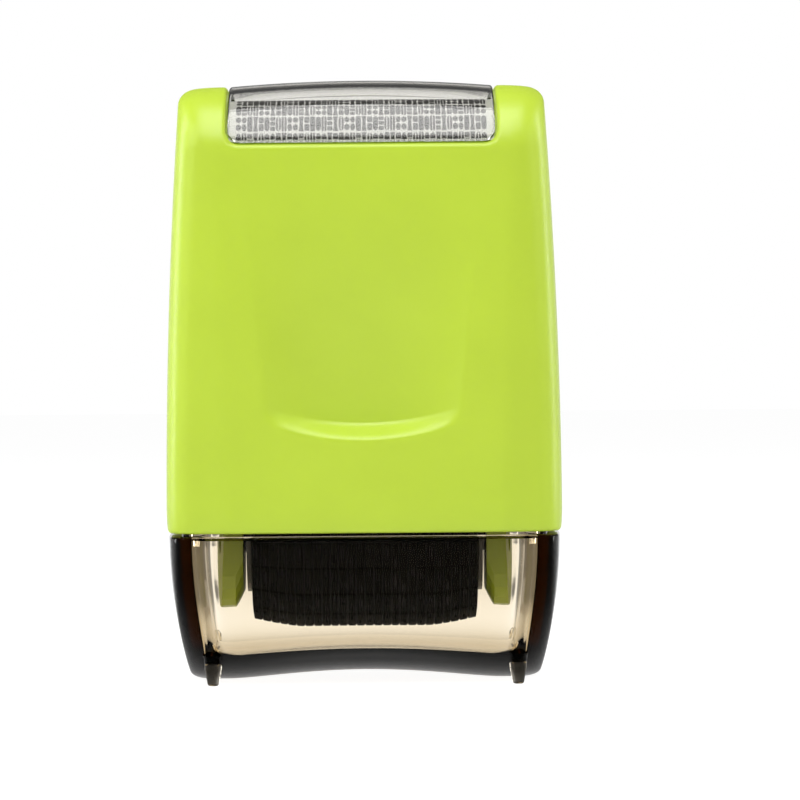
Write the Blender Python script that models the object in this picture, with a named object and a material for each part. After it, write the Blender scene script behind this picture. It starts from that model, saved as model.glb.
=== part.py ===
"""A privacy roller stamp: a moulded housing with a window over its top, a carrier with two rollers, and a clear cap.

The print roller turns in the carrier's two arms, the ink roller is pressed down on it by two springs, and the
cap pulls off downwards. Metres, +Z up, front towards -Y, the origin on the ground under the middle.
"""

from math import asin, copysign, cos, pi, radians, sin, sqrt, tan

import bmesh
import bpy
from mathutils import Matrix, Vector

# Clearances and the way solids join
RUNNING_GAP = 0.00015
SEAT_GAP = 0.0003
BITE = 0.0004
OVERRUN = 0.002
WELD_DISTANCE = 0.0000001
SHARP_ANGLE = radians(32)

# The housing's outer form
HOUSING_WIDTH = 0.0396
HOUSING_DEPTH = 0.0260
HOUSING_HEIGHT = 0.04425
HOUSING_WALL = 0.0013
SIDE_LEAN = 0.0016
FACE_LEAN = 0.0012
SIDE_BOW = 0.0005
CORNER_RADIUS = 0.0030
LEAST_CORNER = 0.0006
SHOULDER_RADIUS = 0.0020
TOP_ROUND = 0.0068
TOP_FLAT_DEPTH = 0.0060
BAND_DROP = 0.0006
PANEL_LOW_WIDTH = 0.0272
PANEL_HIGH_WIDTH = 0.0296
MOST_DENT_SHARE = 0.93
MOST_CORNER_SHARE = 0.8

# The thumb dents in the housing's two faces
DENT_DEPTH = 0.0020
DENT_ABOVE_RIM = 0.00895
DENT_HEIGHT = 0.0265
DENT_LOW_WIDTH = 0.0183
DENT_HIGH_WIDTH = 0.0238
DENT_SAG = 0.0015
DENT_LEDGE = 0.0020
DENT_POWER = 2.4

# The window pocket, the window and the label under it
WINDOW_WIDTH = 0.0265
WINDOW_RISE = 0.00055
WINDOW_CORNER = 0.0013
WINDOW_WALL = 0.0010
WINDOW_CROWN = 0.0007
CROWN_EDGE_SHARE = 0.8
POCKET_DEPTH = 0.00175
POCKET_FLOOR = 0.0011
LABEL_THICKNESS = 0.0002
LABEL_GAP = 0.0002
LABEL_SIDE_ROOM = 0.00075

# The cap
CAP_SIDE_SET = 0.00025
CAP_FACE_SET = 0.0001
CAP_LOW = 0.0001
CAP_STRAIGHT = 0.00275
CAP_SIDE_WALL = 0.00215
CAP_FACE_WALL = 0.0011
CAP_FLOOR = 0.0015
CAP_SIDE_DRAW = 0.00228
CAP_HEEL = 0.0010
CAP_SADDLE = 0.00082
CAP_SADDLE_WIDTH = 0.0270
SADDLE_SIDE_POWER = 1.5
SADDLE_RISE_POWER = 4
CAP_CURVE_POWER = 2.5
TONGUE_HEIGHT = 0.00285
TONGUE_WALL = 0.0010
TONGUE_FOOT_DROP = 0.00135
TONGUE_FOOT_SLOPE = 0.0008

# The cap's feet
FOOT_SIDE_INSET = 0.00455
FOOT_FACE_INSET = 0.0037
FOOT_TIP_RADIUS = 0.00035
FOOT_SHANK_RADIUS = 0.00085
FOOT_ROOT_RADIUS = 0.0010
FOOT_ROOT_HEIGHT = 0.0030
FOOT_SUNK_HEIGHT = 0.0009
FOOT_PROFILE_SHARES = ((0.04, 0.74), (0.15, 0.88), (0.53, 1.0))

# The print roller
ROLLER_SIDE_ROOM = 0.00155
ROLLER_FLOOR_ROOM = 0.00278
RIM_ABOVE_AXIS = 0.00085
RELIEF_HEIGHT = 0.0006
RELIEF_CROWN = 0.0010
RELIEF_TAPER_LENGTH = 0.0048
RELIEF_TAPER_POWER = 1.3
SLEEVE_WALL = 0.0011
HUB_WALL = 0.00175
HUB_CAP_LIP = 0.0008
HUB_CAP_THICKNESS = 0.0004
HUB_SPIGOT_LENGTH = 0.0016
HUB_SHOULDER = 0.00015
JOURNAL_RADIUS = 0.0015
RELIEF_ROWS = 20
RELIEF_BLOCKS = 5
RELIEF_GROOVE_SHARE = 0.22

# The carrier
ARM_SIDE_ROOM = 0.00375
ARM_THICKNESS = 0.0015
ARM_HALF_DEPTH = 0.0050
ARM_BELOW_AXIS = 0.0066
ARM_CORNER = 0.0030
ARM_CHAMFER_RISE = 0.0015
ARM_CHAMFER_SHARE = 0.5
ROLLER_END_PLAY = 0.00035
FLANGE_THICKNESS = 0.0015
FLANGE_GAP = 0.00025
HOOD_WALL = 0.0012
HOOD_SHOULDER_RISE = 0.0025
HOOD_ROOM = 0.0007
FLANGE_ROOM = 0.0010
BOSS_LENGTH = 0.0020
BOSS_WALL = 0.00165
BOSS_BRIDGE = 0.0013

# The housing's inner ribs and catches
RIB_THICKNESS = 0.0010
RIB_SPACING = 0.0090
RIB_BELOW_ROUND = 0.0075
RIB_REACH = 0.0014
CATCH_HEIGHT = 0.0007
CATCH_REACH = 0.0006
CATCH_TIP = 0.00025
CATCH_WIDTH = 0.0060

# The ink roller, its bearings and springs
INK_RADIUS = 0.0055
NIP_GAP = 0.0003
INK_CORE_RADIUS = 0.0024
INK_JOURNAL_RADIUS = 0.0010
INK_DISC_RADIUS = 0.0048
INK_DISC_THICKNESS = 0.0006
FOAM_END_GAP = 0.00025
BEARING_WIDTH = 0.0034
BEARING_BELOW_AXIS = 0.0018
BEARING_ABOVE_AXIS = 0.0020
BEARING_SPIGOT_RADIUS = 0.00055
BEARING_SPIGOT_HEIGHT = 0.0008
SPRING_MEAN_RADIUS = 0.0010
SPRING_WIRE_RADIUS = 0.00015
SPRING_HEIGHT = 0.0026
SPRING_GAP = 0.0002
SPRING_TURNS = 3
SPRING_POINTS_PER_TURN = 10

# How finely round stretches are stepped
CORNER_STEPS = 4
SIDE_STEPS = 2
ROUND_STEPS = 6
FACE_COLUMNS = 5
BAND_COLUMNS = 2
LEDGE_ROWS = 5
FIELD_ROWS = 7
INNER_LEDGE_ROWS = 3
INNER_FIELD_ROWS = 5
CAP_CURVE_DEGREES = (0, 15, 30, 45, 58, 68, 75, 81, 86)
POCKET_CORNER_STEPS = 4
WINDOW_SPAN_STEPS = 3
ARC_STEPS = 12
ARM_CORNER_STEPS = 4
SMALL_SIDES = 12
LARGE_SIDES = 32
MM_PER_METRE = 1000

# Places that follow from the sizes above
HALF_WIDTH = HOUSING_WIDTH / 2
HALF_DEPTH = HOUSING_DEPTH / 2
TONGUE_HALF_WIDTH = HALF_WIDTH - HOUSING_WALL - RUNNING_GAP
TONGUE_HALF_DEPTH = HALF_DEPTH - HOUSING_WALL - RUNNING_GAP
RELIEF_RADIUS = TONGUE_HALF_DEPTH - TONGUE_WALL - ROLLER_SIDE_ROOM
PRINT_AXIS_HEIGHT = CAP_LOW + CAP_FLOOR + CAP_SADDLE + ROLLER_FLOOR_ROOM + RELIEF_RADIUS
RIM_HEIGHT = PRINT_AXIS_HEIGHT + RIM_ABOVE_AXIS
SHOULDER_HEIGHT = RIM_HEIGHT + HOUSING_HEIGHT
ROUND_START = SHOULDER_HEIGHT - TOP_ROUND
CAP_TOP = RIM_HEIGHT - SEAT_GAP
TONGUE_TOP = CAP_TOP + TONGUE_HEIGHT
CATCH_LOW = TONGUE_TOP + SEAT_GAP
FLANGE_LOW = CATCH_LOW + CATCH_HEIGHT + SEAT_GAP
FLANGE_TOP = FLANGE_LOW + FLANGE_THICKNESS
DENT_LOW = RIM_HEIGHT + DENT_ABOVE_RIM
DENT_HIGH = DENT_LOW + DENT_HEIGHT
POCKET_BOTTOM = ROUND_START + WINDOW_RISE
INNER_CEILING_INSET = POCKET_DEPTH + POCKET_FLOOR
CEILING_STEP = ROUND_START - (INNER_CEILING_INSET - HOUSING_WALL)
INK_AXIS_HEIGHT = PRINT_AXIS_HEIGHT + RELIEF_RADIUS + NIP_GAP + INK_RADIUS
ARM_OUTER = TONGUE_HALF_WIDTH - TONGUE_WALL - ARM_SIDE_ROOM
ARM_INNER = ARM_OUTER - ARM_THICKNESS
BOSS_OUTER = ARM_OUTER + BOSS_LENGTH
BEARING_TOP = INK_AXIS_HEIGHT + BEARING_ABOVE_AXIS
SLOT_LOW = INK_AXIS_HEIGHT - BEARING_BELOW_AXIS - SEAT_GAP
SLOT_TOP = BEARING_TOP + SPRING_GAP + SPRING_HEIGHT + SPRING_GAP
SLOT_HALF_DEPTH = BEARING_WIDTH / 2 + RUNNING_GAP
SPRING_PLACE = (ARM_INNER + BOSS_OUTER) / 2
HUB_CAP_END = ARM_INNER - ROLLER_END_PLAY
HUB_END = HUB_CAP_END - HUB_CAP_THICKNESS - HUB_SHOULDER
SLEEVE_BORE = RELIEF_RADIUS - RELIEF_CROWN - RELIEF_HEIGHT - SLEEVE_WALL
HUB_RADIUS = SLEEVE_BORE - RUNNING_GAP
HUB_BORE = HUB_RADIUS - HUB_WALL


def clear_scene():
    """Takes every object out of the open scene."""
    for old in list(bpy.data.objects):
        bpy.data.objects.remove(old, do_unlink=True)


def plastic(name, colour, roughness, metallic=0.0, alpha=1.0):
    """A plain Principled material."""
    made = bpy.data.materials.new(name)
    made.use_nodes = True
    shader = made.node_tree.nodes["Principled BSDF"]
    shader.inputs["Base Color"].default_value = (*colour, 1.0)
    shader.inputs["Roughness"].default_value = roughness
    shader.inputs["Metallic"].default_value = metallic
    shader.inputs["Alpha"].default_value = alpha
    return made


def joint_axis(name, place):
    """An empty on a joint's axis, which the moving pieces are parented to."""
    axis = bpy.data.objects.new(name, None)
    axis.location = place
    bpy.context.scene.collection.objects.link(axis)
    return axis


def settle(made, look, axis):
    """Gives an object its material and parents it, where it stands, to its joint's empty."""
    made.data.materials.append(look)
    bpy.context.scene.collection.objects.link(made)
    if axis is not None:
        made.parent = axis
        made.matrix_parent_inverse = Matrix.Translation(axis.location).inverted()
    return made


def mesh_of(name, bm):
    """A mesh with outward normals, shaded smooth but for its sharp edges."""
    bmesh.ops.recalc_face_normals(bm, faces=bm.faces)
    mesh = bpy.data.meshes.new(name)
    bm.to_mesh(mesh)
    bm.free()
    mesh.shade_smooth()
    mesh.set_sharp_from_angle(angle=SHARP_ANGLE)
    return mesh


def piece(name, bm, look, axis=None):
    """One sub-part of the object."""
    return settle(bpy.data.objects.new(name, mesh_of(name, bm)), look, axis)


def helper(name, bm):
    """A solid that only shapes others by a Boolean, and isn't a sub-part itself."""
    made = bpy.data.objects.new(name, mesh_of(name, bm))
    made.hide_render = True
    made.display_type = "WIRE"
    bpy.context.scene.collection.objects.link(made)
    return made


def combine(target, operation, other):
    """Adds a Boolean of the other solid to the target."""
    step = target.modifiers.new(other.name, "BOOLEAN")
    step.operation = operation
    step.solver = "EXACT"
    step.object = other


def skin(bm, low, high):
    """Quads between two closed rings of vertices."""
    for index in range(len(low)):
        after = (index + 1) % len(low)
        bm.faces.new((low[index], low[after], high[after], high[index]))


def loft(bm, rings):
    """Skins closed rings of points one to the next, and returns their vertices."""
    made = [[bm.verts.new(point) for point in ring] for ring in rings]
    for low, high in zip(made, made[1:]):
        skin(bm, low, high)
    return made


def capped_loft(bm, rings):
    """A loft closed at both ends by flat faces."""
    made = loft(bm, rings)
    bm.faces.new(made[0])
    bm.faces.new(made[-1])


def spot(point, reach, along):
    """A point from its reach along one axis and its two other values, in X, Y, Z order."""
    placed = list(point)
    placed.insert("XYZ".index(along), reach)
    return placed


def extruded(bm, outline, start, end, along):
    """A straight bar of one outline."""
    capped_loft(bm, [[spot(point, reach, along) for point in outline] for reach in (start, end)])


def turned(bm, profile, centre, along, sides, hollow=False):
    """Spins a profile of (reach, radius) about an axis through the centre."""
    across = "XYZ".index("Z" if along == "X" else "X")
    direction = Vector([float(letter == along) for letter in "XYZ"])
    dots = []
    for reach, radius in profile:
        place = Vector(centre) + direction * reach
        place[across] += radius
        dots.append(bm.verts.new(place))
    pairs = list(zip(dots, dots[1:]))
    if hollow:
        pairs.append((dots[-1], dots[0]))
    lines = [bm.edges.new(pair) for pair in pairs]
    bmesh.ops.spin(
        bm, geom=dots + lines, cent=centre, axis=direction, angle=2 * pi, steps=sides, use_merge=True
    )
    bmesh.ops.remove_doubles(bm, verts=bm.verts, dist=WELD_DISTANCE)


def smoothstep(share):
    """Eases from 0 to 1."""
    share = min(max(share, 0.0), 1.0)
    return share * share * (3 - 2 * share)


def between(low, high, share):
    """The value a share of the way from low to high."""
    return low + (high - low) * min(max(share, 0.0), 1.0)


def plan_ring(half_width, half_depth, stops, drop, corner, bow):
    """A closed outline seen from above, starting at the middle of the +X side and running round by +Y.

    Each face is straight over the stops, falls back by drop to a round corner, and each side bows out.
    """
    corner_x = half_width - bow - corner
    corner_y = half_depth - drop - corner
    quarter = []
    for step in range(SIDE_STEPS):
        share = step / SIDE_STEPS
        quarter.append((half_width - bow * share**2, corner_y * share))
    for step in range(CORNER_STEPS + 1):
        turn = pi / 2 * step / CORNER_STEPS
        quarter.append((corner_x + corner * cos(turn), corner_y + corner * sin(turn)))
    quarter += [(stop, half_depth) for stop in reversed(stops)]
    ring = list(quarter)
    ring += [(-x, y) for x, y in reversed(quarter[:-1])]
    ring += [(-x, -y) for x, y in quarter[1:]]
    ring += [(x, -y) for x, y in reversed(quarter[1:-1])]
    return ring


def housing_half_width(height, inset):
    """Half the width at a height, on the skin that lies inset inside the outer one."""
    rise = max(height - RIM_HEIGHT, 0.0) / HOUSING_HEIGHT
    half = HALF_WIDTH - SIDE_LEAN * rise**2 - inset
    radius = SHOULDER_RADIUS - inset
    over = height - (SHOULDER_HEIGHT - SHOULDER_RADIUS)
    if radius > 0 and over > 0:
        half -= radius - sqrt(max(radius**2 - over**2, 0.0))
    return half


def housing_half_depth(height, inset):
    """Half the depth at a height, on the skin that lies inset inside the outer one."""
    rise = max(height - RIM_HEIGHT, 0.0) / HOUSING_HEIGHT
    half = HALF_DEPTH - FACE_LEAN * rise**2 - inset
    over = height - ROUND_START
    if over <= 0:
        return half
    flat = TOP_FLAT_DEPTH / 2
    return flat + (half - flat) * sqrt(max(1 - (over / (TOP_ROUND - inset)) ** 2, 0.0))


def dent_half_width(height):
    """Half the thumb dent's width at a height."""
    return between(DENT_LOW_WIDTH, DENT_HIGH_WIDTH, (height - DENT_LOW) / DENT_HEIGHT) / 2


def dent_depth(x, height):
    """How deep the thumb dent is: crisp at its curved ledge, and fading out at the top."""
    across = min(abs(x) / dent_half_width(height), 1.0)
    ledge = DENT_LOW + DENT_SAG * across**2
    fade = (DENT_HIGH - height) / (DENT_HIGH - ledge)
    depth = DENT_DEPTH * (1 - across**DENT_POWER)
    return depth * smoothstep((height - ledge) / DENT_LEDGE) * smoothstep(fade)


def housing_plan(height, inset):
    """The housing's outline at a height, without the dents."""
    half_width = housing_half_width(height, inset)
    half_depth = housing_half_depth(height, inset)
    drop = BAND_DROP * (1 - min(max(height - ROUND_START, 0.0) / TOP_ROUND, 1.0))
    corner = max(CORNER_RADIUS - inset, LEAST_CORNER)
    corner = min(corner, (half_depth - drop) * MOST_CORNER_SHARE)
    panel = between(PANEL_LOW_WIDTH, PANEL_HIGH_WIDTH, (height - RIM_HEIGHT) / HOUSING_HEIGHT) / 2
    panel = min(panel, half_width - SIDE_BOW - corner / MOST_CORNER_SHARE)
    dent = min(dent_half_width(height), panel * MOST_DENT_SHARE)
    stops = [dent * column / FACE_COLUMNS for column in range(FACE_COLUMNS + 1)]
    stops += [dent + (panel - dent) * (column + 1) / BAND_COLUMNS for column in range(BAND_COLUMNS)]
    return plan_ring(half_width, half_depth, stops, drop, corner, SIDE_BOW)


def housing_ring(height, inset, sag_share=0.0):
    """One row of the housing's skin. With a sag share, the row follows the ledge's curve."""
    ring = []
    for index, (x, y) in enumerate(housing_plan(height, inset)):
        across = min(abs(x) / dent_half_width(height), 1.0)
        lifted = height + sag_share * DENT_SAG * across**2
        x, y = housing_plan(lifted, inset)[index]
        ring.append((x, y - copysign(min(dent_depth(x, lifted), abs(y)), y), lifted))
    return ring


def face_rings(inset, ledge_rows, field_rows, top):
    """The housing's rows from its rim up to the last one below the top given."""
    rings = [housing_ring(RIM_HEIGHT, inset)]
    for row in range(ledge_rows):
        rings.append(housing_ring(DENT_LOW + DENT_LEDGE * row / (ledge_rows - 1), inset, 1.0))
    for row in range(1, field_rows):
        share = row / field_rows
        rings.append(housing_ring(between(DENT_LOW + DENT_LEDGE, top, share), inset, 1 - share))
    return rings


def round_rings(inset):
    """The housing's rows over the round at its top."""
    rings = []
    for step in range(ROUND_STEPS + 1):
        height = ROUND_START + (TOP_ROUND - inset) * sin(pi / 2 * step / ROUND_STEPS)
        rings.append(housing_ring(height, inset))
    return rings


def pocket_outline(half_width, bottom, corner, top):
    """The window's outline from the front: round at its two lower corners."""
    right = []
    for step in range(POCKET_CORNER_STEPS + 1):
        turn = pi / 2 * step / POCKET_CORNER_STEPS
        right.append((half_width - corner + corner * sin(turn), bottom + corner - corner * cos(turn)))
    right.append((half_width, top))
    return right + [(-x, z) for x, z in reversed(right)]


def window_pocket():
    """The cutter that leaves an even recess over the top, front and back."""
    block = bmesh.new()
    top = SHOULDER_HEIGHT + OVERRUN
    outline = pocket_outline(WINDOW_WIDTH / 2, POCKET_BOTTOM, WINDOW_CORNER, top)
    extruded(block, outline, -HALF_DEPTH - OVERRUN, HALF_DEPTH + OVERRUN, "Y")
    pocket = helper("pocket_cutter", block)
    core = bmesh.new()
    rings = [housing_ring(ROUND_START - OVERRUN, POCKET_DEPTH)] + round_rings(POCKET_DEPTH)
    capped_loft(core, rings)
    combine(pocket, "DIFFERENCE", helper("pocket_core", core))
    return pocket


def housing_ribs():
    """Four upright ribs on the side walls, whose lower ends stop the carrier's flange."""
    bm = bmesh.new()
    low = FLANGE_TOP + SEAT_GAP
    top = ROUND_START - RIB_BELOW_ROUND
    edge = TONGUE_HALF_WIDTH - RIB_REACH
    for side in (-1, 1):
        outline = [
            (side * edge, low),
            (side * (housing_half_width(low, HOUSING_WALL) + BITE), low),
            (side * (housing_half_width(top, HOUSING_WALL) + BITE), top),
            (side * edge, top),
        ]
        for end in (-1, 1):
            middle = end * RIB_SPACING / 2
            extruded(bm, outline, middle - RIB_THICKNESS / 2, middle + RIB_THICKNESS / 2, "Y")
    return helper("housing_ribs", bm)


def housing_catches():
    """Two small wedges on the side walls, which the carrier's flange snaps past."""
    bm = bmesh.new()
    top = CATCH_LOW + CATCH_HEIGHT
    wall = housing_half_width(top, HOUSING_WALL)
    for side in (-1, 1):
        outline = [
            (side * (wall + BITE), CATCH_LOW),
            (side * (wall - CATCH_REACH), top - CATCH_TIP),
            (side * (wall - CATCH_REACH), top),
            (side * (wall + BITE), top),
        ]
        extruded(bm, outline, -CATCH_WIDTH / 2, CATCH_WIDTH / 2, "Y")
    return helper("housing_catches", bm)


def make_housing(look):
    """The one-piece housing: an even shell, open below, with dents, a window pocket, ribs and catches."""
    bm = bmesh.new()
    outer = loft(bm, face_rings(0.0, LEDGE_ROWS, FIELD_ROWS, ROUND_START) + round_rings(0.0))
    rings = face_rings(HOUSING_WALL, INNER_LEDGE_ROWS, INNER_FIELD_ROWS, CEILING_STEP)
    rings.append(housing_ring(CEILING_STEP, HOUSING_WALL))
    rings.append(housing_ring(ROUND_START, INNER_CEILING_INSET))
    rings += round_rings(INNER_CEILING_INSET)[1:]
    inner = loft(bm, rings)
    skin(bm, outer[0], inner[0])
    bm.faces.new(outer[-1])
    bm.faces.new(inner[-1])
    housing = piece("housing_shell", bm, look)
    combine(housing, "DIFFERENCE", window_pocket())
    combine(housing, "UNION", housing_ribs())
    combine(housing, "UNION", housing_catches())


def arch(inset, bottom, crown):
    """Points (y, z) over the housing's top at one inset, from the front's bottom to the back's."""
    reach = TOP_ROUND - inset
    start = asin((bottom - ROUND_START) / reach)
    front = []
    for step in range(ROUND_STEPS + 1):
        height = ROUND_START + reach * sin(between(start, pi / 2, step / ROUND_STEPS))
        swell = crown * ((height - bottom) / (ROUND_START + reach - bottom)) ** 2 * CROWN_EDGE_SHARE
        front.append((-housing_half_depth(height, inset), height + swell))
    middle = [(0.0, ROUND_START + reach + crown)]
    return front + middle + [(-y, z) for y, z in reversed(front)]


def arched_sheet(bm, stations, outer_inset, inner_inset, crown):
    """A sheet bent over the top: each station gives x, its lower edge and its share of the crown."""
    rings = []
    for x, bottom, crown_share in stations:
        outer = arch(outer_inset, bottom, crown * crown_share)
        inner = arch(inner_inset, bottom, crown * crown_share)
        rings.append([(x, y, z) for y, z in outer + inner[::-1]])
    made = loft(bm, rings)
    half = len(made[0]) // 2
    for ring in (made[0], made[-1]):
        for index in range(half - 1):
            bm.faces.new((ring[index], ring[index + 1], ring[-index - 2], ring[-index - 1]))


def make_window(look):
    """The clear window, crowned along its length, with round lower corners like its pocket's."""
    half = WINDOW_WIDTH / 2 - RUNNING_GAP
    bottom = POCKET_BOTTOM + RUNNING_GAP
    corner = WINDOW_CORNER - RUNNING_GAP
    right = [(0.0, bottom)]
    for step in range(1, WINDOW_SPAN_STEPS):
        right.append(((half - corner) * step / WINDOW_SPAN_STEPS, bottom))
    for step in range(POCKET_CORNER_STEPS + 1):
        turn = pi / 2 * step / POCKET_CORNER_STEPS
        right.append((half - corner + corner * sin(turn), bottom + corner - corner * cos(turn)))
    stations = [(-x, low) for x, low in reversed(right[1:])] + right
    stations = [(x, low, 1 - (x / half) ** 2) for x, low in stations]
    bm = bmesh.new()
    arched_sheet(bm, stations, 0.0, WINDOW_WALL, WINDOW_CROWN)
    piece("window_lens", bm, look)


def make_label(look):
    """The printed card between the pocket's floor and the window."""
    bottom = POCKET_BOTTOM + SEAT_GAP
    outer = POCKET_DEPTH - LABEL_GAP - LABEL_THICKNESS
    half = WINDOW_WIDTH / 2 - LABEL_SIDE_ROOM
    stations = [(-half, bottom, 0.0), (half, bottom, 0.0)]
    bm = bmesh.new()
    arched_sheet(bm, stations, outer, POCKET_DEPTH - LABEL_GAP, 0.0)
    piece("pattern_label", bm, look)


def cap_half_width(height, wall):
    """Half the cap's width at a height: drawn in towards a round heel."""
    drop = max(CAP_TOP - height, 0.0) / (CAP_TOP - CAP_LOW)
    half = HALF_WIDTH - CAP_SIDE_SET - CAP_SIDE_DRAW * drop**2 - wall
    heel_top = CAP_LOW + (CAP_FLOOR if wall else 0.0) + CAP_HEEL
    below = min(max(heel_top - height, 0.0) / CAP_HEEL, 1.0)
    return half - CAP_HEEL * (1 - sqrt(1 - below**2))


def saddle(x, height):
    """How far the hollow underside lifts a point, fading upwards."""
    across = min(abs(x) / (CAP_SADDLE_WIDTH / 2), 1.0)
    fade = 1 - max(height - CAP_LOW - CAP_FLOOR, 0.0) / (CAP_TOP - CAP_LOW)
    return CAP_SADDLE * (1 - across**2) ** SADDLE_SIDE_POWER * max(fade, 0.0) ** SADDLE_RISE_POWER


def cap_ring(height, half_width, half_depth, corner):
    """One row of the cap, outside or inside."""
    drop = BAND_DROP * half_depth / HALF_DEPTH
    panel = PANEL_LOW_WIDTH / 2 * half_width / HALF_WIDTH
    corner = min(corner, (half_depth - drop) * MOST_CORNER_SHARE)
    stops = [panel * column / FACE_COLUMNS for column in range(FACE_COLUMNS + 1)]
    ring = plan_ring(half_width, half_depth, stops, drop, corner, SIDE_BOW)
    return [(x, y, height + saddle(x, height)) for x, y in ring]


def cap_curve(half_depth, wall, low, corner):
    """The cap's rows round its front, underside and back."""
    start = CAP_TOP - CAP_STRAIGHT
    rings = []
    for degrees in CAP_CURVE_DEGREES:
        turn = radians(degrees)
        height = start - (start - low) * sin(turn) ** (2 / CAP_CURVE_POWER)
        depth = half_depth * cos(turn) ** (2 / CAP_CURVE_POWER)
        rings.append(cap_ring(height, cap_half_width(height, wall), depth, corner))
    return rings


def close_across(bm, ring):
    """Closes a ring by a strip from its back to its front."""
    half = len(ring) // 2
    bm.faces.new((ring[0], ring[1], ring[-1]))
    for index in range(1, half - 1):
        bm.faces.new((ring[index], ring[index + 1], ring[-index - 1], ring[-index]))
    bm.faces.new((ring[half - 1], ring[half], ring[half + 1]))


def cap_feet():
    """Four small tapered feet, whose tips stand on the ground."""
    bm = bmesh.new()
    profile = [(0.0, 0.0), (0.0, FOOT_TIP_RADIUS)]
    for rise_share, radius_share in FOOT_PROFILE_SHARES:
        profile.append((FOOT_ROOT_HEIGHT * rise_share, FOOT_SHANK_RADIUS * radius_share))
    profile.append((FOOT_ROOT_HEIGHT, FOOT_ROOT_RADIUS))
    profile.append((FOOT_ROOT_HEIGHT + FOOT_SUNK_HEIGHT, FOOT_TIP_RADIUS))
    profile.append((FOOT_ROOT_HEIGHT + FOOT_SUNK_HEIGHT, 0.0))
    for side in (-1, 1):
        for end in (-1, 1):
            foot = bmesh.new()
            x = side * (HALF_WIDTH - CAP_SIDE_SET - FOOT_SIDE_INSET)
            y = end * (HALF_DEPTH - CAP_FACE_SET - FOOT_FACE_INSET)
            turned(foot, profile, (x, y, 0.0), "Z", SMALL_SIDES)
            mesh = mesh_of("foot", foot)
            bm.from_mesh(mesh)
            bpy.data.meshes.remove(mesh)
    return helper("cap_feet", bm)


def make_cap(look, axis):
    """The clear cap: a tongue inside the housing's rim, a ledge under it, and a hollow with a saddle below."""
    outer_corner = CORNER_RADIUS - CAP_SIDE_SET
    tongue_corner = CORNER_RADIUS - HOUSING_WALL - RUNNING_GAP
    inner_corner = tongue_corner - TONGUE_WALL / 2
    half_width = HALF_WIDTH - CAP_SIDE_SET
    half_depth = HALF_DEPTH - CAP_FACE_SET
    inner_width = TONGUE_HALF_WIDTH - TONGUE_WALL
    inner_depth = TONGUE_HALF_DEPTH - TONGUE_WALL
    foot_high = CAP_TOP - TONGUE_FOOT_DROP
    foot_low = foot_high - TONGUE_FOOT_SLOPE
    bm = bmesh.new()
    rings = [
        cap_ring(TONGUE_TOP, TONGUE_HALF_WIDTH, TONGUE_HALF_DEPTH, tongue_corner),
        cap_ring(CAP_TOP, TONGUE_HALF_WIDTH, TONGUE_HALF_DEPTH, tongue_corner),
        cap_ring(CAP_TOP, half_width, half_depth, outer_corner),
    ]
    outer = loft(bm, rings + cap_curve(half_depth, 0.0, CAP_LOW, outer_corner))
    cavity_depth = half_depth - CAP_FACE_WALL
    cavity_width = cap_half_width(foot_low, CAP_SIDE_WALL)
    rings = [
        cap_ring(TONGUE_TOP, inner_width, inner_depth, inner_corner),
        cap_ring(foot_high, inner_width, inner_depth, inner_corner),
        cap_ring(foot_low, cavity_width, cavity_depth, inner_corner),
    ]
    inner = loft(bm, rings + cap_curve(cavity_depth, CAP_SIDE_WALL, CAP_LOW + CAP_FLOOR, inner_corner))
    skin(bm, outer[0], inner[0])
    close_across(bm, outer[-1])
    close_across(bm, inner[-1])
    cap = piece("cap_shell", bm, look, axis)
    combine(cap, "UNION", cap_feet())


def hood_outline(inset, low):
    """The ink hood's section (y, z): wide at the flange, drawn in to a round top."""
    narrow = INK_RADIUS + HOOD_ROOM + HOOD_WALL - inset
    sink = FLANGE_LOW - PRINT_AXIS_HEIGHT
    wide = sqrt(RELIEF_RADIUS**2 - sink**2) + FLANGE_ROOM + HOOD_WALL - inset
    shoulder = FLANGE_TOP + HOOD_SHOULDER_RISE - inset * tan(pi / 8)
    right = [(wide, low), (wide, shoulder), (narrow, shoulder + wide - narrow)]
    for step in range(ARC_STEPS // 2 + 1):
        turn = pi / 2 * step / (ARC_STEPS // 2)
        right.append((narrow * cos(turn), INK_AXIS_HEIGHT + narrow * sin(turn)))
    return right + [(-y, z) for y, z in reversed(right[:-1])]


def arm_outline(bottom):
    """An arm's section (y, z), round at its two lower corners."""
    right = []
    for step in range(ARM_CORNER_STEPS + 1):
        turn = pi / 2 * step / ARM_CORNER_STEPS
        y = ARM_HALF_DEPTH - ARM_CORNER + ARM_CORNER * sin(turn)
        right.append((y, bottom + ARM_CORNER - ARM_CORNER * cos(turn)))
    right.append((ARM_HALF_DEPTH, FLANGE_LOW + BITE))
    return right + [(-y, z) for y, z in reversed(right)]


def carrier_arms():
    """The two arms that hold the print roller, chamfered at the inner lower edge."""
    bm = bmesh.new()
    bottom = PRINT_AXIS_HEIGHT - ARM_BELOW_AXIS
    chamfer = ARM_INNER + ARM_THICKNESS * ARM_CHAMFER_SHARE
    sections = [(ARM_INNER, bottom + ARM_CHAMFER_RISE), (chamfer, bottom), (ARM_OUTER, bottom)]
    for side in (-1, 1):
        capped_loft(bm, [[(side * x, y, z) for y, z in arm_outline(low)] for x, low in sections])
    return helper("carrier_arms", bm)


def carrier_bosses():
    """The two guides outside the hood, in which the ink bearings slide."""
    bm = bmesh.new()
    half = SLOT_HALF_DEPTH + BOSS_WALL
    low = SLOT_LOW - BOSS_BRIDGE
    top = SLOT_TOP + BOSS_BRIDGE
    outline = [(-half, low), (half, low), (half, top), (-half, top)]
    for side in (-1, 1):
        extruded(bm, outline, side * (ARM_OUTER - BITE), side * BOSS_OUTER, "X")
    return helper("carrier_bosses", bm)


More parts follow.
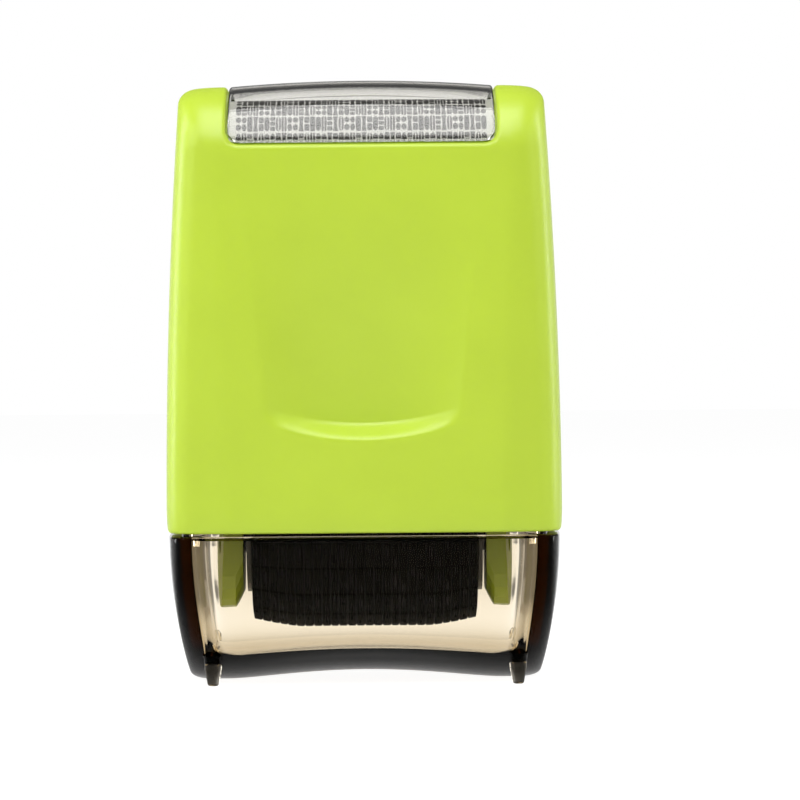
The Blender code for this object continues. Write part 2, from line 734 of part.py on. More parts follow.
def make_carrier(look):
    """The carrier: a flange that snaps into the housing, a hood over the ink roller, and two arms."""
    bm = bmesh.new()
    gap = HOUSING_WALL + FLANGE_GAP
    outline = housing_plan(FLANGE_LOW, gap)
    extruded(bm, outline, FLANGE_LOW, FLANGE_TOP, "Z")
    carrier = piece("carrier_frame", bm, look)
    combine(carrier, "UNION", carrier_arms())
    hood = bmesh.new()
    extruded(hood, hood_outline(0.0, FLANGE_LOW), -ARM_OUTER, ARM_OUTER, "X")
    combine(carrier, "UNION", helper("carrier_hood", hood))
    combine(carrier, "UNION", carrier_bosses())
    cavity = bmesh.new()
    extruded(cavity, hood_outline(HOOD_WALL, FLANGE_LOW - OVERRUN), -ARM_INNER, ARM_INNER, "X")
    combine(carrier, "DIFFERENCE", helper("carrier_cavity", cavity))
    holes = bmesh.new()
    reach = BOSS_OUTER + OVERRUN
    radius = JOURNAL_RADIUS + RUNNING_GAP
    profile = [(-reach, 0.0), (-reach, radius), (reach, radius), (reach, 0.0)]
    turned(holes, profile, (0.0, 0.0, PRINT_AXIS_HEIGHT), "X", SMALL_SIDES)
    combine(carrier, "DIFFERENCE", helper("journal_holes", holes))
    slots = bmesh.new()
    half = SLOT_HALF_DEPTH
    outline = [(-half, SLOT_LOW), (half, SLOT_LOW), (half, SLOT_TOP), (-half, SLOT_TOP)]
    extruded(slots, outline, -reach, reach, "X")
    combine(carrier, "DIFFERENCE", helper("bearing_slots", slots))


def relief_height(place, row):
    """How far the sleeve's surface stands at one block of one row: some blocks are left low."""
    return 0.0 if (2 * place + row) % RELIEF_BLOCKS == 0 else RELIEF_HEIGHT


def sleeve_radius(x, raised):
    """The sleeve's radius along its length, drawn in a little near each end."""
    taper = max(abs(x) - (HUB_END - RELIEF_TAPER_LENGTH), 0.0) / RELIEF_TAPER_LENGTH
    return RELIEF_RADIUS - RELIEF_HEIGHT + raised - RELIEF_CROWN * taper**RELIEF_TAPER_POWER


def make_sleeve(look, axis):
    """The rubber sleeve with raised printing blocks, parted by grooves along and around it."""
    groove = RELIEF_GROOVE_SHARE
    columns = []
    for row in range(RELIEF_ROWS):
        columns += [(row, None), (row + groove, row), (row + 1 - groove, row)]
    stations = [(0.0, None)]
    for place in range(RELIEF_BLOCKS):
        stations += [(place + groove, place), (place + 1 - groove, place), (place + 1.0, None)]
    length = 2 * HUB_END
    rings = []
    for reach, place in stations:
        x = length * reach / RELIEF_BLOCKS - HUB_END
        ring = []
        for around, row in columns:
            turn = 2 * pi * around / RELIEF_ROWS
            raised = 0.0 if place is None or row is None else relief_height(place, row)
            radius = sleeve_radius(x, raised)
            ring.append((x, radius * cos(turn), PRINT_AXIS_HEIGHT + radius * sin(turn)))
        rings.append(ring)
    bore = []
    for x in (-HUB_END, HUB_END):
        ring = []
        for around, _ in columns:
            turn = 2 * pi * around / RELIEF_ROWS
            ring.append((x, SLEEVE_BORE * cos(turn), PRINT_AXIS_HEIGHT + SLEEVE_BORE * sin(turn)))
        bore.append(ring)
    bm = bmesh.new()
    outer = loft(bm, rings)
    inner = loft(bm, bore)
    skin(bm, outer[0], inner[0])
    skin(bm, outer[-1], inner[-1])
    piece("print_sleeve", bm, look, axis)


def make_print_hub(look, axis):
    """The tube that carries the sleeve, and the two end caps with the journals."""
    centre = (0.0, 0.0, PRINT_AXIS_HEIGHT)
    bm = bmesh.new()
    ends = (-HUB_END, HUB_END)
    profile = [(ends[0], HUB_BORE), (ends[0], HUB_RADIUS), (ends[1], HUB_RADIUS), (ends[1], HUB_BORE)]
    turned(bm, profile, centre, "X", LARGE_SIDES, hollow=True)
    piece("print_hub", bm, look, axis)
    spigot = HUB_BORE - RUNNING_GAP
    seat = HUB_END + HUB_SHOULDER
    disc = HUB_BORE + HUB_CAP_LIP
    tip = ARM_OUTER - RUNNING_GAP
    for side, name in ((-1, "left_hub_cap"), (1, "right_hub_cap")):
        profile = [
            (side * (HUB_END - HUB_SPIGOT_LENGTH), 0.0),
            (side * (HUB_END - HUB_SPIGOT_LENGTH), spigot),
            (side * seat, spigot),
            (side * seat, disc),
            (side * HUB_CAP_END, disc),
            (side * HUB_CAP_END, JOURNAL_RADIUS),
            (side * tip, JOURNAL_RADIUS),
            (side * tip, 0.0),
        ]
        bm = bmesh.new()
        turned(bm, profile, centre, "X", LARGE_SIDES)
        piece(name, bm, look, axis)


def make_ink_roller(core_look, foam_look, axis):
    """The ink roller: a core with thin journals, a foam sleeve full of ink, and a disc at each end."""
    centre = (0.0, 0.0, INK_AXIS_HEIGHT)
    disc_end = HUB_CAP_END
    disc_start = disc_end - INK_DISC_THICKNESS
    core_end = disc_start - RUNNING_GAP
    tip = BOSS_OUTER - SEAT_GAP
    profile = [
        (-tip, 0.0),
        (-tip, INK_JOURNAL_RADIUS),
        (-core_end, INK_JOURNAL_RADIUS),
        (-core_end, INK_CORE_RADIUS),
        (core_end, INK_CORE_RADIUS),
        (core_end, INK_JOURNAL_RADIUS),
        (tip, INK_JOURNAL_RADIUS),
        (tip, 0.0),
    ]
    bm = bmesh.new()
    turned(bm, profile, centre, "X", SMALL_SIDES)
    piece("ink_core", bm, core_look, axis)
    bore = INK_JOURNAL_RADIUS + RUNNING_GAP
    for side, name in ((-1, "left_ink_disc"), (1, "right_ink_disc")):
        near = side * disc_start
        far = side * disc_end
        profile = [(near, bore), (near, INK_DISC_RADIUS), (far, INK_DISC_RADIUS), (far, bore)]
        bm = bmesh.new()
        turned(bm, profile, centre, "X", SMALL_SIDES * 2, hollow=True)
        piece(name, bm, core_look, axis)
    end = disc_start - FOAM_END_GAP
    bore = INK_CORE_RADIUS + RUNNING_GAP
    profile = [(-end, bore), (-end, INK_RADIUS), (end, INK_RADIUS), (end, bore)]
    bm = bmesh.new()
    turned(bm, profile, centre, "X", SMALL_SIDES * 2, hollow=True)
    piece("ink_foam", bm, foam_look, axis)


def make_bearings(look):
    """The sliding blocks that carry the ink roller's journals, each with a spigot for its spring."""
    half = BEARING_WIDTH / 2
    low = INK_AXIS_HEIGHT - BEARING_BELOW_AXIS
    near = ARM_INNER + RUNNING_GAP
    far = BOSS_OUTER - RUNNING_GAP
    bore_radius = INK_JOURNAL_RADIUS + RUNNING_GAP
    outline = [(-half, low), (half, low), (half, BEARING_TOP), (-half, BEARING_TOP)]
    sink = BEARING_TOP - BITE
    rise = BEARING_TOP + BEARING_SPIGOT_HEIGHT
    for side, name in ((-1, "left_ink_bearing"), (1, "right_ink_bearing")):
        bm = bmesh.new()
        extruded(bm, outline, side * near, side * far, "X")
        block = piece(name, bm, look)
        peg = bmesh.new()
        profile = [(sink, 0.0), (sink, BEARING_SPIGOT_RADIUS), (rise, BEARING_SPIGOT_RADIUS), (rise, 0.0)]
        turned(peg, profile, (side * SPRING_PLACE, 0.0, 0.0), "Z", SMALL_SIDES)
        combine(block, "UNION", helper(name + "_peg", peg))
        bore = bmesh.new()
        ends = (side * (near - OVERRUN), side * (far + OVERRUN))
        profile = [(ends[0], 0.0), (ends[0], bore_radius), (ends[1], bore_radius), (ends[1], 0.0)]
        turned(bore, profile, (0.0, 0.0, INK_AXIS_HEIGHT), "X", SMALL_SIDES)
        combine(block, "DIFFERENCE", helper(name + "_bore", bore))


def spring_points():
    """A coil's points about its own axis, from its lower end up."""
    count = SPRING_TURNS * SPRING_POINTS_PER_TURN
    rise = SPRING_HEIGHT - 2 * SPRING_WIRE_RADIUS
    points = []
    for step in range(count + 1):
        turn = 2 * pi * step / SPRING_POINTS_PER_TURN
        height = SPRING_WIRE_RADIUS + rise * step / count
        points.append(Vector((SPRING_MEAN_RADIUS * cos(turn), SPRING_MEAN_RADIUS * sin(turn), height)))
    return points


def least_gap(points):
    """The least clear way between a coil's turns, measured on its points."""
    apart = SPRING_POINTS_PER_TURN // 2
    gaps = []
    for index, point in enumerate(points):
        for other in points[index + apart :]:
            gaps.append((point - other).length - 2 * SPRING_WIRE_RADIUS)
    return min(gaps)


def make_springs(look):
    """The two coil springs between the bearings and the tops of their guides."""
    points = spring_points()
    print("least gap between the turns of a spring, mm:", round(least_gap(points) * MM_PER_METRE, 3))
    for side, name in ((-1, "left_ink_spring"), (1, "right_ink_spring")):
        curve = bpy.data.curves.new(name, "CURVE")
        curve.dimensions = "3D"
        curve.bevel_depth = SPRING_WIRE_RADIUS
        curve.bevel_resolution = 1
        curve.use_fill_caps = True
        line = curve.splines.new("POLY")
        line.points.add(len(points) - 1)
        for slot, point in zip(line.points, points):
            slot.co = (*point, 1.0)
        spring = bpy.data.objects.new(name, curve)
        spring.location = (side * SPRING_PLACE, 0.0, BEARING_TOP + SPRING_GAP)
        settle(spring, look, None)


def build():
    """Makes the whole object."""
    clear_scene()
    green = plastic("green_plastic", (0.48, 0.68, 0.065), 0.42)
    smoke = plastic("smoked_plastic", (0.20, 0.17, 0.12), 0.08, alpha=0.4)
    card = plastic("printed_card", (0.48, 0.48, 0.46), 0.6)
    black = plastic("black_plastic", (0.012, 0.012, 0.012), 0.35)
    rubber = plastic("black_rubber", (0.010, 0.010, 0.009), 0.55)
    foam = plastic("inked_foam", (0.015, 0.015, 0.018), 0.9)
    white = plastic("white_plastic", (0.80, 0.80, 0.77), 0.35)
    steel = plastic("spring_steel", (0.55, 0.55, 0.56), 0.3, metallic=1.0)
    cap_slide = joint_axis("cap_slide", (0.0, 0.0, CAP_TOP))
    print_axis = joint_axis("print_roller_axis", (0.0, 0.0, PRINT_AXIS_HEIGHT))
    ink_axis = joint_axis("ink_roller_axis", (0.0, 0.0, INK_AXIS_HEIGHT))
    make_housing(green)
    make_window(smoke)
    make_label(card)
    make_carrier(green)
    make_bearings(white)
    make_springs(steel)
    make_print_hub(black, print_axis)
    make_sleeve(rubber, print_axis)
    make_ink_roller(black, foam, ink_axis)
    make_cap(smoke, cap_slide)


build()
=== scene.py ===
"""Looks of the privacy roller stamp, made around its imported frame. Metres, +Z up, front towards -Y.

The housing, window, card, cap, relief sleeve and springs are finer shells in the places of the frame's own
solids. The carrier, hubs, bearings and ink roller keep their solids and get their finish here.
"""

from bisect import bisect
from math import asin, atan, copysign, cos, hypot, pi, radians, sin, sqrt

import bmesh
import bpy
from mathutils import Matrix, Vector


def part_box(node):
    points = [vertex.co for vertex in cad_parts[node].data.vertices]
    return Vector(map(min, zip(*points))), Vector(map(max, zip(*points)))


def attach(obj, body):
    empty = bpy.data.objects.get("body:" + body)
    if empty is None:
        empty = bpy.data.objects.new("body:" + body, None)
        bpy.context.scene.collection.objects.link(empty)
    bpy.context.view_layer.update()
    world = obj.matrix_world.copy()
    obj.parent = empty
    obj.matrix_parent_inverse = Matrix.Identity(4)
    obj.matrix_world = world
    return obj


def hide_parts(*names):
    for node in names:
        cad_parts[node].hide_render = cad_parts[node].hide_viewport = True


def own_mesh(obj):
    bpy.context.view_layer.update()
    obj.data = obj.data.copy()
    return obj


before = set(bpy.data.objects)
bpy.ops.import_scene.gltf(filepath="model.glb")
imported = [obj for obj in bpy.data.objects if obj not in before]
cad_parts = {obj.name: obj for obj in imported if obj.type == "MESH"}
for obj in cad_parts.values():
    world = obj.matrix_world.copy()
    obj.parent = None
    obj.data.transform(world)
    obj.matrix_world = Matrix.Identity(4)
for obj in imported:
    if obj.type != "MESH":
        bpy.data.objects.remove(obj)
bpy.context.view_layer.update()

MM = 0.001

# Places read from the frame
housing_low, housing_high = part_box("housing_shell")
window_low, window_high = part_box("window_lens")
label_low, label_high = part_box("pattern_label")
cap_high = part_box("cap_shell")[1]
sleeve_low, sleeve_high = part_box("print_sleeve")

# The housing's outer form
HALF_WIDTH = housing_high.x
HALF_DEPTH = housing_high.y
RIM_HEIGHT = housing_low.z
SHOULDER_HEIGHT = housing_high.z
HOUSING_HEIGHT = SHOULDER_HEIGHT - RIM_HEIGHT
HOUSING_WALL = 1.3 * MM
SIDE_LEAN = 1.6 * MM
FACE_LEAN = 1.2 * MM
SIDE_BOW = 0.5 * MM
BOW_REACH = 10.0 * MM
CORNER_RADIUS = 3.0 * MM
LEAST_CORNER = 0.6 * MM
MOST_CORNER_SHARE = 0.8
LEAST_SIDE_SHARE = 0.1
SHOULDER_RADIUS = 2.0 * MM
TOP_ROUND = 6.8 * MM
TOP_FLAT = 3.0 * MM
BAND_SLOPE = 0.2
CREASE_SOFTNESS = 0.35 * MM
PANEL_LOW = 13.6 * MM
PANEL_HIGH = 14.8 * MM
RIM_ROUND = 0.3 * MM
RIM_TUCK = 0.12 * MM
RIM_TUCK_REACH = 2.4 * MM
ROUND_START = SHOULDER_HEIGHT - TOP_ROUND

# The thumb dents
DENT_DEPTH = 2.0 * MM
DENT_RISE = 8.95 * MM
DENT_TALL = 26.5 * MM
DENT_LOW = RIM_HEIGHT + DENT_RISE
DENT_HIGH = DENT_LOW + DENT_TALL
DENT_LOW_HALF = 9.15 * MM
DENT_HIGH_HALF = 11.9 * MM
DENT_SAG = 1.5 * MM
DENT_LEDGE = 1.9 * MM
DENT_POWER = 2.4

# The pocket, the window and the card
POCKET_HALF = 13.25 * MM
POCKET_GAP = 0.15 * MM
POCKET_BOTTOM = window_low.z - POCKET_GAP
POCKET_CORNER = 1.3 * MM
POCKET_DEPTH = 1.75 * MM
POCKET_LIP = 0.45 * MM
CEILING_DEPTH = 2.85 * MM
WINDOW_HALF = window_high.x
WINDOW_CORNER = 1.15 * MM
WINDOW_WALL = 0.6 * MM
WINDOW_LIP = 0.3 * MM
WINDOW_CROWN = window_high.z - SHOULDER_HEIGHT
CROWN_EDGE_SHARE = 0.8
CARD_INSET = 1.35 * MM
CARD_THICKNESS = 0.2 * MM
CARD_HALF = label_high.x
CARD_MARGIN = 0.5 * MM
CARD_BOTTOM = label_low.z

# The print on the card
ROW_PITCH = 2.05 * MM
ROW_FILL_SHARE = 0.92
ROW_PHASE = 0.95 * MM
MOTIF_PITCH = 0.56 * MM
PRINT_RISE = 0.012 * MM
PRINT_MARGIN = 0.02 * MM
STACK_GAP_SHARE = 0.07
OVAL_SHARE = 0.92
OVAL_POWER = 3
LOZENGE_SHARE = 0.92
LOZENGE_TIP_SHARE = 0.5
BRICK_SHARE = 0.9
BRICK_TIP_SHARE = 0.2
BRICK_POWER = 6
WAIST_SHARE = 0.55
WAIST_TIP_SHARE = 0.37
BRICK_SLIT_SHARE = 0.12
OVAL_SLIT_SHARE = 0.16
MOTIF_SHIFT = 5

# The cap
CAP_LOW = 0.1 * MM
CAP_GAP = 0.3 * MM
CAP_TOP = RIM_HEIGHT - CAP_GAP
CAP_HALF_WIDTH = cap_high.x
CAP_HALF_DEPTH = cap_high.y
CAP_STRAIGHT = 2.75 * MM
CAP_SIDE_WALL = 2.15 * MM
CAP_FACE_WALL = 1.1 * MM
CAP_FLOOR = 1.8 * MM
CAP_SIDE_DRAW = 2.28 * MM
CAP_HEEL = 1.0 * MM
CAP_SADDLE = 0.82 * MM
CAP_SADDLE_HALF = 13.5 * MM
SADDLE_SIDE_POWER = 1.5
SADDLE_RISE_POWER = 4
CAP_CURVE_POWER = 2.5
CAP_CURVE_END = radians(89.6)
CAP_CURVE_EASE = 0.9
HOLLOW_POWER = 3.0
TONGUE_TOP = cap_high.z
TONGUE_GAP = 0.15 * MM
TONGUE_WALL = 1.0 * MM
TONGUE_FOOT_DROP = 0.08 * MM
GROWTH_LOW = 14.3 * MM
INNER_CORNER = 1.1 * MM
INNER_CREASE = 15.5 * MM
INNER_SLOPE = 0.95
LEDGE_ROUND = 0.25 * MM

# The cap's feet
FOOT_X = 15.0 * MM
FOOT_Y = 9.2 * MM
FOOT_TIP_ROUND = 0.28 * MM
FOOT_TIP_RADIUS = 0.58 * MM
FOOT_SHANK_RADIUS = 0.83 * MM
FOOT_SHANK_HEIGHT = 1.6 * MM
FOOT_ROOT_RADIUS = 1.0 * MM
FOOT_ROOT_HEIGHT = 3.0 * MM
FOOT_SUNK_HEIGHT = 0.45 * MM
FOOT_SIDES = 32

# The relief sleeve
SLEEVE_AXIS = (sleeve_low.z + sleeve_high.z) / 2
SLEEVE_RADIUS = sleeve_high.y
SLEEVE_HALF = sleeve_high.x
RELIEF_HEIGHT = 0.6 * MM
RELIEF_CROWN = 1.0 * MM
RELIEF_TAPER = 4.8 * MM
RELIEF_TAPER_POWER = 1.3
SLEEVE_WALL = 1.1 * MM
SLEEVE_BORE = SLEEVE_RADIUS - RELIEF_CROWN - RELIEF_HEIGHT - SLEEVE_WALL
ROW_REACH_SHARE = 0.92
COLUMN_REACH_SHARE = 0.88
GROOVE_SHARE = 0.65
HOLE_SHARE = 0.5
RELIEF_ROWS = 20
RELIEF_COLUMNS = 26
HOLE_COLUMN_SHIFT = 3
HOLE_ROW_SHIFT = 7
HOLE_PLACE_SHARES = (
    (-0.6, 0.6, 0.2),
    (-0.9, -0.2, 0.2),
    (0.1, 0.6, 0.3),
    (0.2, 0.9, 0.2),
    (-0.6, -0.1, 0.3),
)

# The springs over the ink roller's bearings
SPRING_TURNS = 3
SPRING_WIRE_RADIUS = 0.15 * MM

# Grains, tones and reaches of the finishes
TONE_SHARES = (0.975, 1.025)
FINE_GRAIN = 0.004 * MM
COARSE_GRAIN = 0.006 * MM
GLASS_WAVE = 0.02 * MM
FOAM_PORE = 0.12 * MM
GREEN_REACH = 0.6 * MM

# The surroundings. Each fade has its start, its end, and its value at either.
FLOOR_SCALE = 0.12
FLOOR_REACH = 3.0
FLOOR_GLOW = 1.3
FLOOR_GLOW_SHARE = 0.72
FLOOR_MIRROR_SHARE = 0.85
FILL_GLOW = 0.19
THROUGH_SIDES = (0.15, 0.5, 1.52, 0.3)
THROUGH_HEIGHTS = (0.33, 0.42, 0.82, 0.05)
MIRRORED_DEPTHS = (-0.1, 0.6, 0.15, 0.9)
MIRRORED_HEIGHTS = (0.08, 0.25, 1.0, 0.15)
MIRRORED_NEAR = (0.02, 0.06, 0.5, 0.0)

# The lamps: name, azimuth and elevation in degrees, distance, width, height and power
LAMP_TARGET = 30.0 * MM
LAMPS = (
    ("overhead_key", -7.0, 66.0, 0.5, 0.34, 0.52, 2.25),
    ("left_fill", -60.0, 30.0, 0.6, 0.3, 0.4, 0.85),
    ("right_fill", 60.0, 25.0, 0.6, 0.3, 0.4, 0.35),
    ("left_rim", -104.0, 20.0, 0.6, 0.12, 0.5, 1.45),
    ("right_rim", 104.0, 20.0, 0.6, 0.12, 0.5, 1.15),
)

# How finely the shells are stepped and joined
MERGE_REACH = 0.000001 * MM
CUT_OVER = 2.0 * MM
SHARP_ANGLE = radians(40)
RELIEF_SHARP_ANGLE = radians(50)
PLAN_ROUNDS = 4
SIDE_STEPS = 12
CORNER_STEPS = 12
DENT_COLUMNS = 30
BAND_COLUMNS = 7
REST_COLUMNS = 10
LIP_STEPS_SHARES = (0.0, 0.1, 0.25, 0.45, 0.7, 1.0)
FINE_ROWS = (24, 20, 80)
COARSE_ROWS = (5, 5, 12)
ROUND_ROWS = 40
CEILING_ROWS = 10
POCKET_ROWS = 24
ARC_STEPS = 16
CARD_ROWS = 60
PRINT_STEPS = 10
LEAST_PRINT_STEPS = 4
CAP_ROWS = 60
CAP_SIDE_ROWS = 5
TONGUE_ROWS = 8
CAP_FACE_COLUMNS = 40
WINDOW_COLUMNS = 34
WINDOW_ROWS = 44
TOP_COLUMNS = 12
FOOT_ROUND_STEPS = 6
RELIEF_AROUND = 400
RELIEF_ALONG = 230
SPRING_STEPS = 24
WIRE_SIDES = 12


def share_between(low, high, share):
    """The value a share of the way from low to high."""
    return low + (high - low) * min(max(share, 0.0), 1.0)


def smoothstep(share):
    """Eases from 0 to 1."""
    share = min(max(share, 0.0), 1.0)
    return share * share * (3 - 2 * share)


def round_over(reach, radius):
    """How far a rounded edge lies under its flat, at a distance in from the edge."""
    inside = min(max(reach, 0.0), radius)
    return radius - sqrt(max(radius**2 - (radius - inside) ** 2, 0.0))


class Solid:
    """Collects points and faces for one mesh."""

    def __init__(self):
        self.points = []
        self.faces = []

    def ring(self, points):
        """Adds a row of points and returns their indices."""
        start = len(self.points)
        self.points += [tuple(point) for point in points]
        return list(range(start, len(self.points)))

    def skin(self, low, high):
        """Quads between two closed rows."""
        for index in range(len(low)):
            after = (index + 1) % len(low)
            self.faces.append((low[index], low[after], high[after], high[index]))

    def loft(self, rings, ends=False):
        """Skins closed rows one to the next, with flat ends if asked, and returns their indices."""
        rows = [self.ring(points) for points in rings]
        for low, high in zip(rows, rows[1:]):
            self.skin(low, high)
        if ends:
            self.faces += [tuple(rows[0]), tuple(rows[-1])]
        return rows

    def across(self, row):
        """Closes a ring that is the same front and back: a face at each end and a strip between them."""
        half = len(row) // 2
        end = SIDE_STEPS + CORNER_STEPS // 2
        self.faces.append(tuple(row[-end:] + row[: end + 1]))
        for index in range(end, half - end):
            self.faces.append((row[index], row[index + 1], row[-index - 1], row[-index]))
        self.faces.append(tuple(row[half - end : half + end + 1]))

    def mesh(self, name, sharp=SHARP_ANGLE):
        """The finished mesh, with outward normals."""
        made = bpy.data.meshes.new(name)
        made.from_pydata(self.points, [], self.faces)
        edited = bmesh.new()
        edited.from_mesh(made)
        bmesh.ops.remove_doubles(edited, verts=edited.verts, dist=MERGE_REACH)
        bmesh.ops.recalc_face_normals(edited, faces=edited.faces)
        edited.to_mesh(made)
        edited.free()
        made.shade_smooth()
        made.set_sharp_from_angle(angle=sharp)
        return made


def add(name, data):
    """Adds an object to the scene."""
    made = bpy.data.objects.new(name, data)
    bpy.context.scene.collection.objects.link(made)
    return made


def place(name, mesh, look, body, slot, *replaced):
    """Adds a piece that rides on a body and stands for the frame's nodes."""
    mesh.materials.append(look)
    made = add(name, mesh)
    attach(made, body)
    if replaced:
        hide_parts(*replaced)
    return made


def boolean(target, steps):
    """Applies (operation, solid) steps to a mesh object and drops the solids."""
    for operation, solid in steps:
        step = target.modifiers.new(solid.name, "BOOLEAN")
        step.operation = operation
        step.solver = "EXACT"
        step.object = solid
    bpy.context.view_layer.update()
    graph = bpy.context.evaluated_depsgraph_get()
    cut = bpy.data.meshes.new_from_object(target.evaluated_get(graph))
    target.modifiers.clear()
    target.data = cut
    cut.shade_smooth()
    cut.set_sharp_from_angle(angle=SHARP_ANGLE)
    for _, solid in steps:
        bpy.data.objects.remove(solid, do_unlink=True)


# The housing's form


def side_half(height, inset):
    """Half the housing's width at a height."""
    rise = max(height - RIM_HEIGHT, 0.0) / HOUSING_HEIGHT
    half = HALF_WIDTH - SIDE_LEAN * rise**2 - inset
    radius = SHOULDER_RADIUS - inset
    over = height - (SHOULDER_HEIGHT - SHOULDER_RADIUS)
    if radius > 0 and over > 0:
        half -= radius - sqrt(max(radius**2 - over**2, 0.0))
    return half


def face_half(height, inset):
    """Half the housing's depth at a height."""
    rise = max(height - RIM_HEIGHT, 0.0) / HOUSING_HEIGHT
    half = HALF_DEPTH - FACE_LEAN * rise**2 - inset
    over = height - ROUND_START
    if over <= 0:
        return half
    return TOP_FLAT + (half - TOP_FLAT) * sqrt(max(1 - (over / (TOP_ROUND - inset)) ** 2, 0.0))


def soft_fall(reach, slope):
    """How far a face falls back past its crease."""
    return slope * (reach + sqrt(reach**2 + CREASE_SOFTNESS**2)) / 2


def plan(half_width, half_depth, panel, slope, corner, stops):
    """A closed outline from above: bowed sides, round corners, and faces that fall back past a crease."""
    corner = min(corner, half_depth * MOST_CORNER_SHARE)
    fall_turn = atan(slope)
    centre_x = half_width - corner
    centre_y = half_depth - corner
    lean = 0.0
    for _ in range(PLAN_ROUNDS):
        start_x = centre_x + corner * sin(fall_turn)
        centre_y = half_depth - soft_fall(start_x - panel, slope) - corner * cos(fall_turn)
        centre_y = max(centre_y, half_depth * LEAST_SIDE_SHARE)
        end_y = centre_y + corner * sin(lean)
        lean = atan(2 * SIDE_BOW * end_y / BOW_REACH**2)
        end_y = centre_y + corner * sin(lean)
        centre_x = half_width - SIDE_BOW * (end_y / BOW_REACH) ** 2 - corner * cos(lean)
    quarter = []
    for step in range(SIDE_STEPS):
        y = end_y * step / SIDE_STEPS
        quarter.append((half_width - SIDE_BOW * (y / BOW_REACH) ** 2, y))
    for step in range(CORNER_STEPS + 1):
        turn = lean + (pi / 2 - fall_turn - lean) * step / CORNER_STEPS
        quarter.append((centre_x + corner * cos(turn), centre_y + corner * sin(turn)))
    start_x = quarter[-1][0]
    inner = [start_x + (stops[-1] - start_x) * step / REST_COLUMNS for step in range(1, REST_COLUMNS)]
    for x in inner + list(reversed(stops)):
        quarter.append((x, half_depth - soft_fall(x - panel, slope)))
    ring = list(quarter)
    ring += [(-x, y) for x, y in reversed(quarter[:-1])]
    ring += [(-x, -y) for x, y in quarter[1:]]
    ring += [(x, -y) for x, y in reversed(quarter[1:-1])]
    return ring


def dent_half(height):
    """Half the thumb dent's width at a height."""
    return share_between(DENT_LOW_HALF, DENT_HIGH_HALF, (height - DENT_LOW) / (DENT_HIGH - DENT_LOW))


def dent_depth(x, height):
    """How deep the thumb dent is: crisp at its ledge and edges, fading out at the top."""
    across = min(abs(x) / dent_half(height), 1.0)
    ledge = DENT_LOW + DENT_SAG * across**2
    fade = smoothstep((DENT_HIGH - height) / (DENT_HIGH - ledge))
    return DENT_DEPTH * (1 - across**DENT_POWER) * smoothstep((height - ledge) / DENT_LEDGE) * fade


def pocket_reach(x, height):
    """The distance from a point on the skin to the window pocket, negative inside it."""
    side = abs(x) - (POCKET_HALF - POCKET_CORNER)
    below = POCKET_BOTTOM + POCKET_CORNER - height
    if side > 0 and below > 0:
        return hypot(side, below) - POCKET_CORNER
    return max(side, below) - POCKET_CORNER


def housing_stops(height):
    """Columns over the front face, following the dent's edge and gathered at the pocket's side."""
    dent = dent_half(height)
    near = POCKET_HALF - POCKET_LIP
    far = POCKET_HALF + POCKET_LIP
    stops = [dent * column / DENT_COLUMNS for column in range(DENT_COLUMNS + 1)]
    stops += [dent + (near - dent) * (column + 1) / BAND_COLUMNS for column in range(BAND_COLUMNS)]
    stops += [POCKET_HALF + (far - POCKET_HALF) * share for share in LIP_STEPS_SHARES]
    return stops


def housing_plan(height, inset):
    """The housing's outline at a height, without dents."""
    fade = 1 - min(max(height - ROUND_START, 0.0) / TOP_ROUND, 1.0)
    panel = share_between(PANEL_LOW, PANEL_HIGH, (height - RIM_HEIGHT) / HOUSING_HEIGHT)
    width = side_half(height, inset)
    depth = face_half(height, inset)
    if not inset:
        edge = round_over(height - RIM_HEIGHT, RIM_ROUND)
        edge += RIM_TUCK * max(1 - (height - RIM_HEIGHT) / RIM_TUCK_REACH, 0.0) ** 2
        width -= edge
        depth -= edge
    corner = max(CORNER_RADIUS - inset, LEAST_CORNER)
    return plan(width, depth, panel, BAND_SLOPE * fade, corner, housing_stops(height))


def housing_row(height, inset, sag_share=0.0):
    """One row of the housing's skin. With a sag share, the row follows the ledge's curve."""
    row = []
    base = housing_plan(height, inset)
    plans = {height: base}
    for index, (flat_x, _) in enumerate(base):
        across = min(abs(flat_x) / dent_half(height), 1.0)
        z = height + sag_share * DENT_SAG * across**2
        if z not in plans:
            plans[z] = housing_plan(z, inset)
        x, y = plans[z][index]
        y -= copysign(min(dent_depth(x, z), abs(y)), y)
        lip = 0.0 if inset else round_over(pocket_reach(x, z), POCKET_LIP)
        if lip and abs(x) < POCKET_HALF + POCKET_LIP:
            turn = asin(min(max(z - ROUND_START, 0.0) / TOP_ROUND, 1.0))
            normal = Vector((0.0, cos(turn) * TOP_ROUND, sin(turn) * (HALF_DEPTH - TOP_FLAT)))
            normal.normalize()
            y -= copysign(normal.y * lip, y)
            z -= normal.z * lip
        row.append((x, y, z))
    return row


def housing_rows(inset, fine):
    """All rows of the housing's skin, from the rim to the top."""
    rows = []
    if not inset:
        rows += [housing_row(RIM_HEIGHT + RIM_ROUND * share, 0.0) for share in LIP_STEPS_SHARES[:-1]]
    start = RIM_HEIGHT + (0.0 if inset else RIM_ROUND)
    below, ledge, above = FINE_ROWS if fine else COARSE_ROWS
    for step in range(below):
        share = step / below
        rows.append(housing_row(start + (DENT_LOW - start) * share, inset, smoothstep(share)))
    for step in range(ledge):
        rows.append(housing_row(DENT_LOW + DENT_LEDGE * step / ledge, inset, 1.0))
    top = ROUND_START if fine else ROUND_START - CEILING_DEPTH + HOUSING_WALL
    for step in range(above):
        share = step / above
        height = DENT_LOW + DENT_LEDGE + (top - DENT_LOW - DENT_LEDGE) * share
        rows.append(housing_row(height, inset, 1 - smoothstep(share)))
    return rows


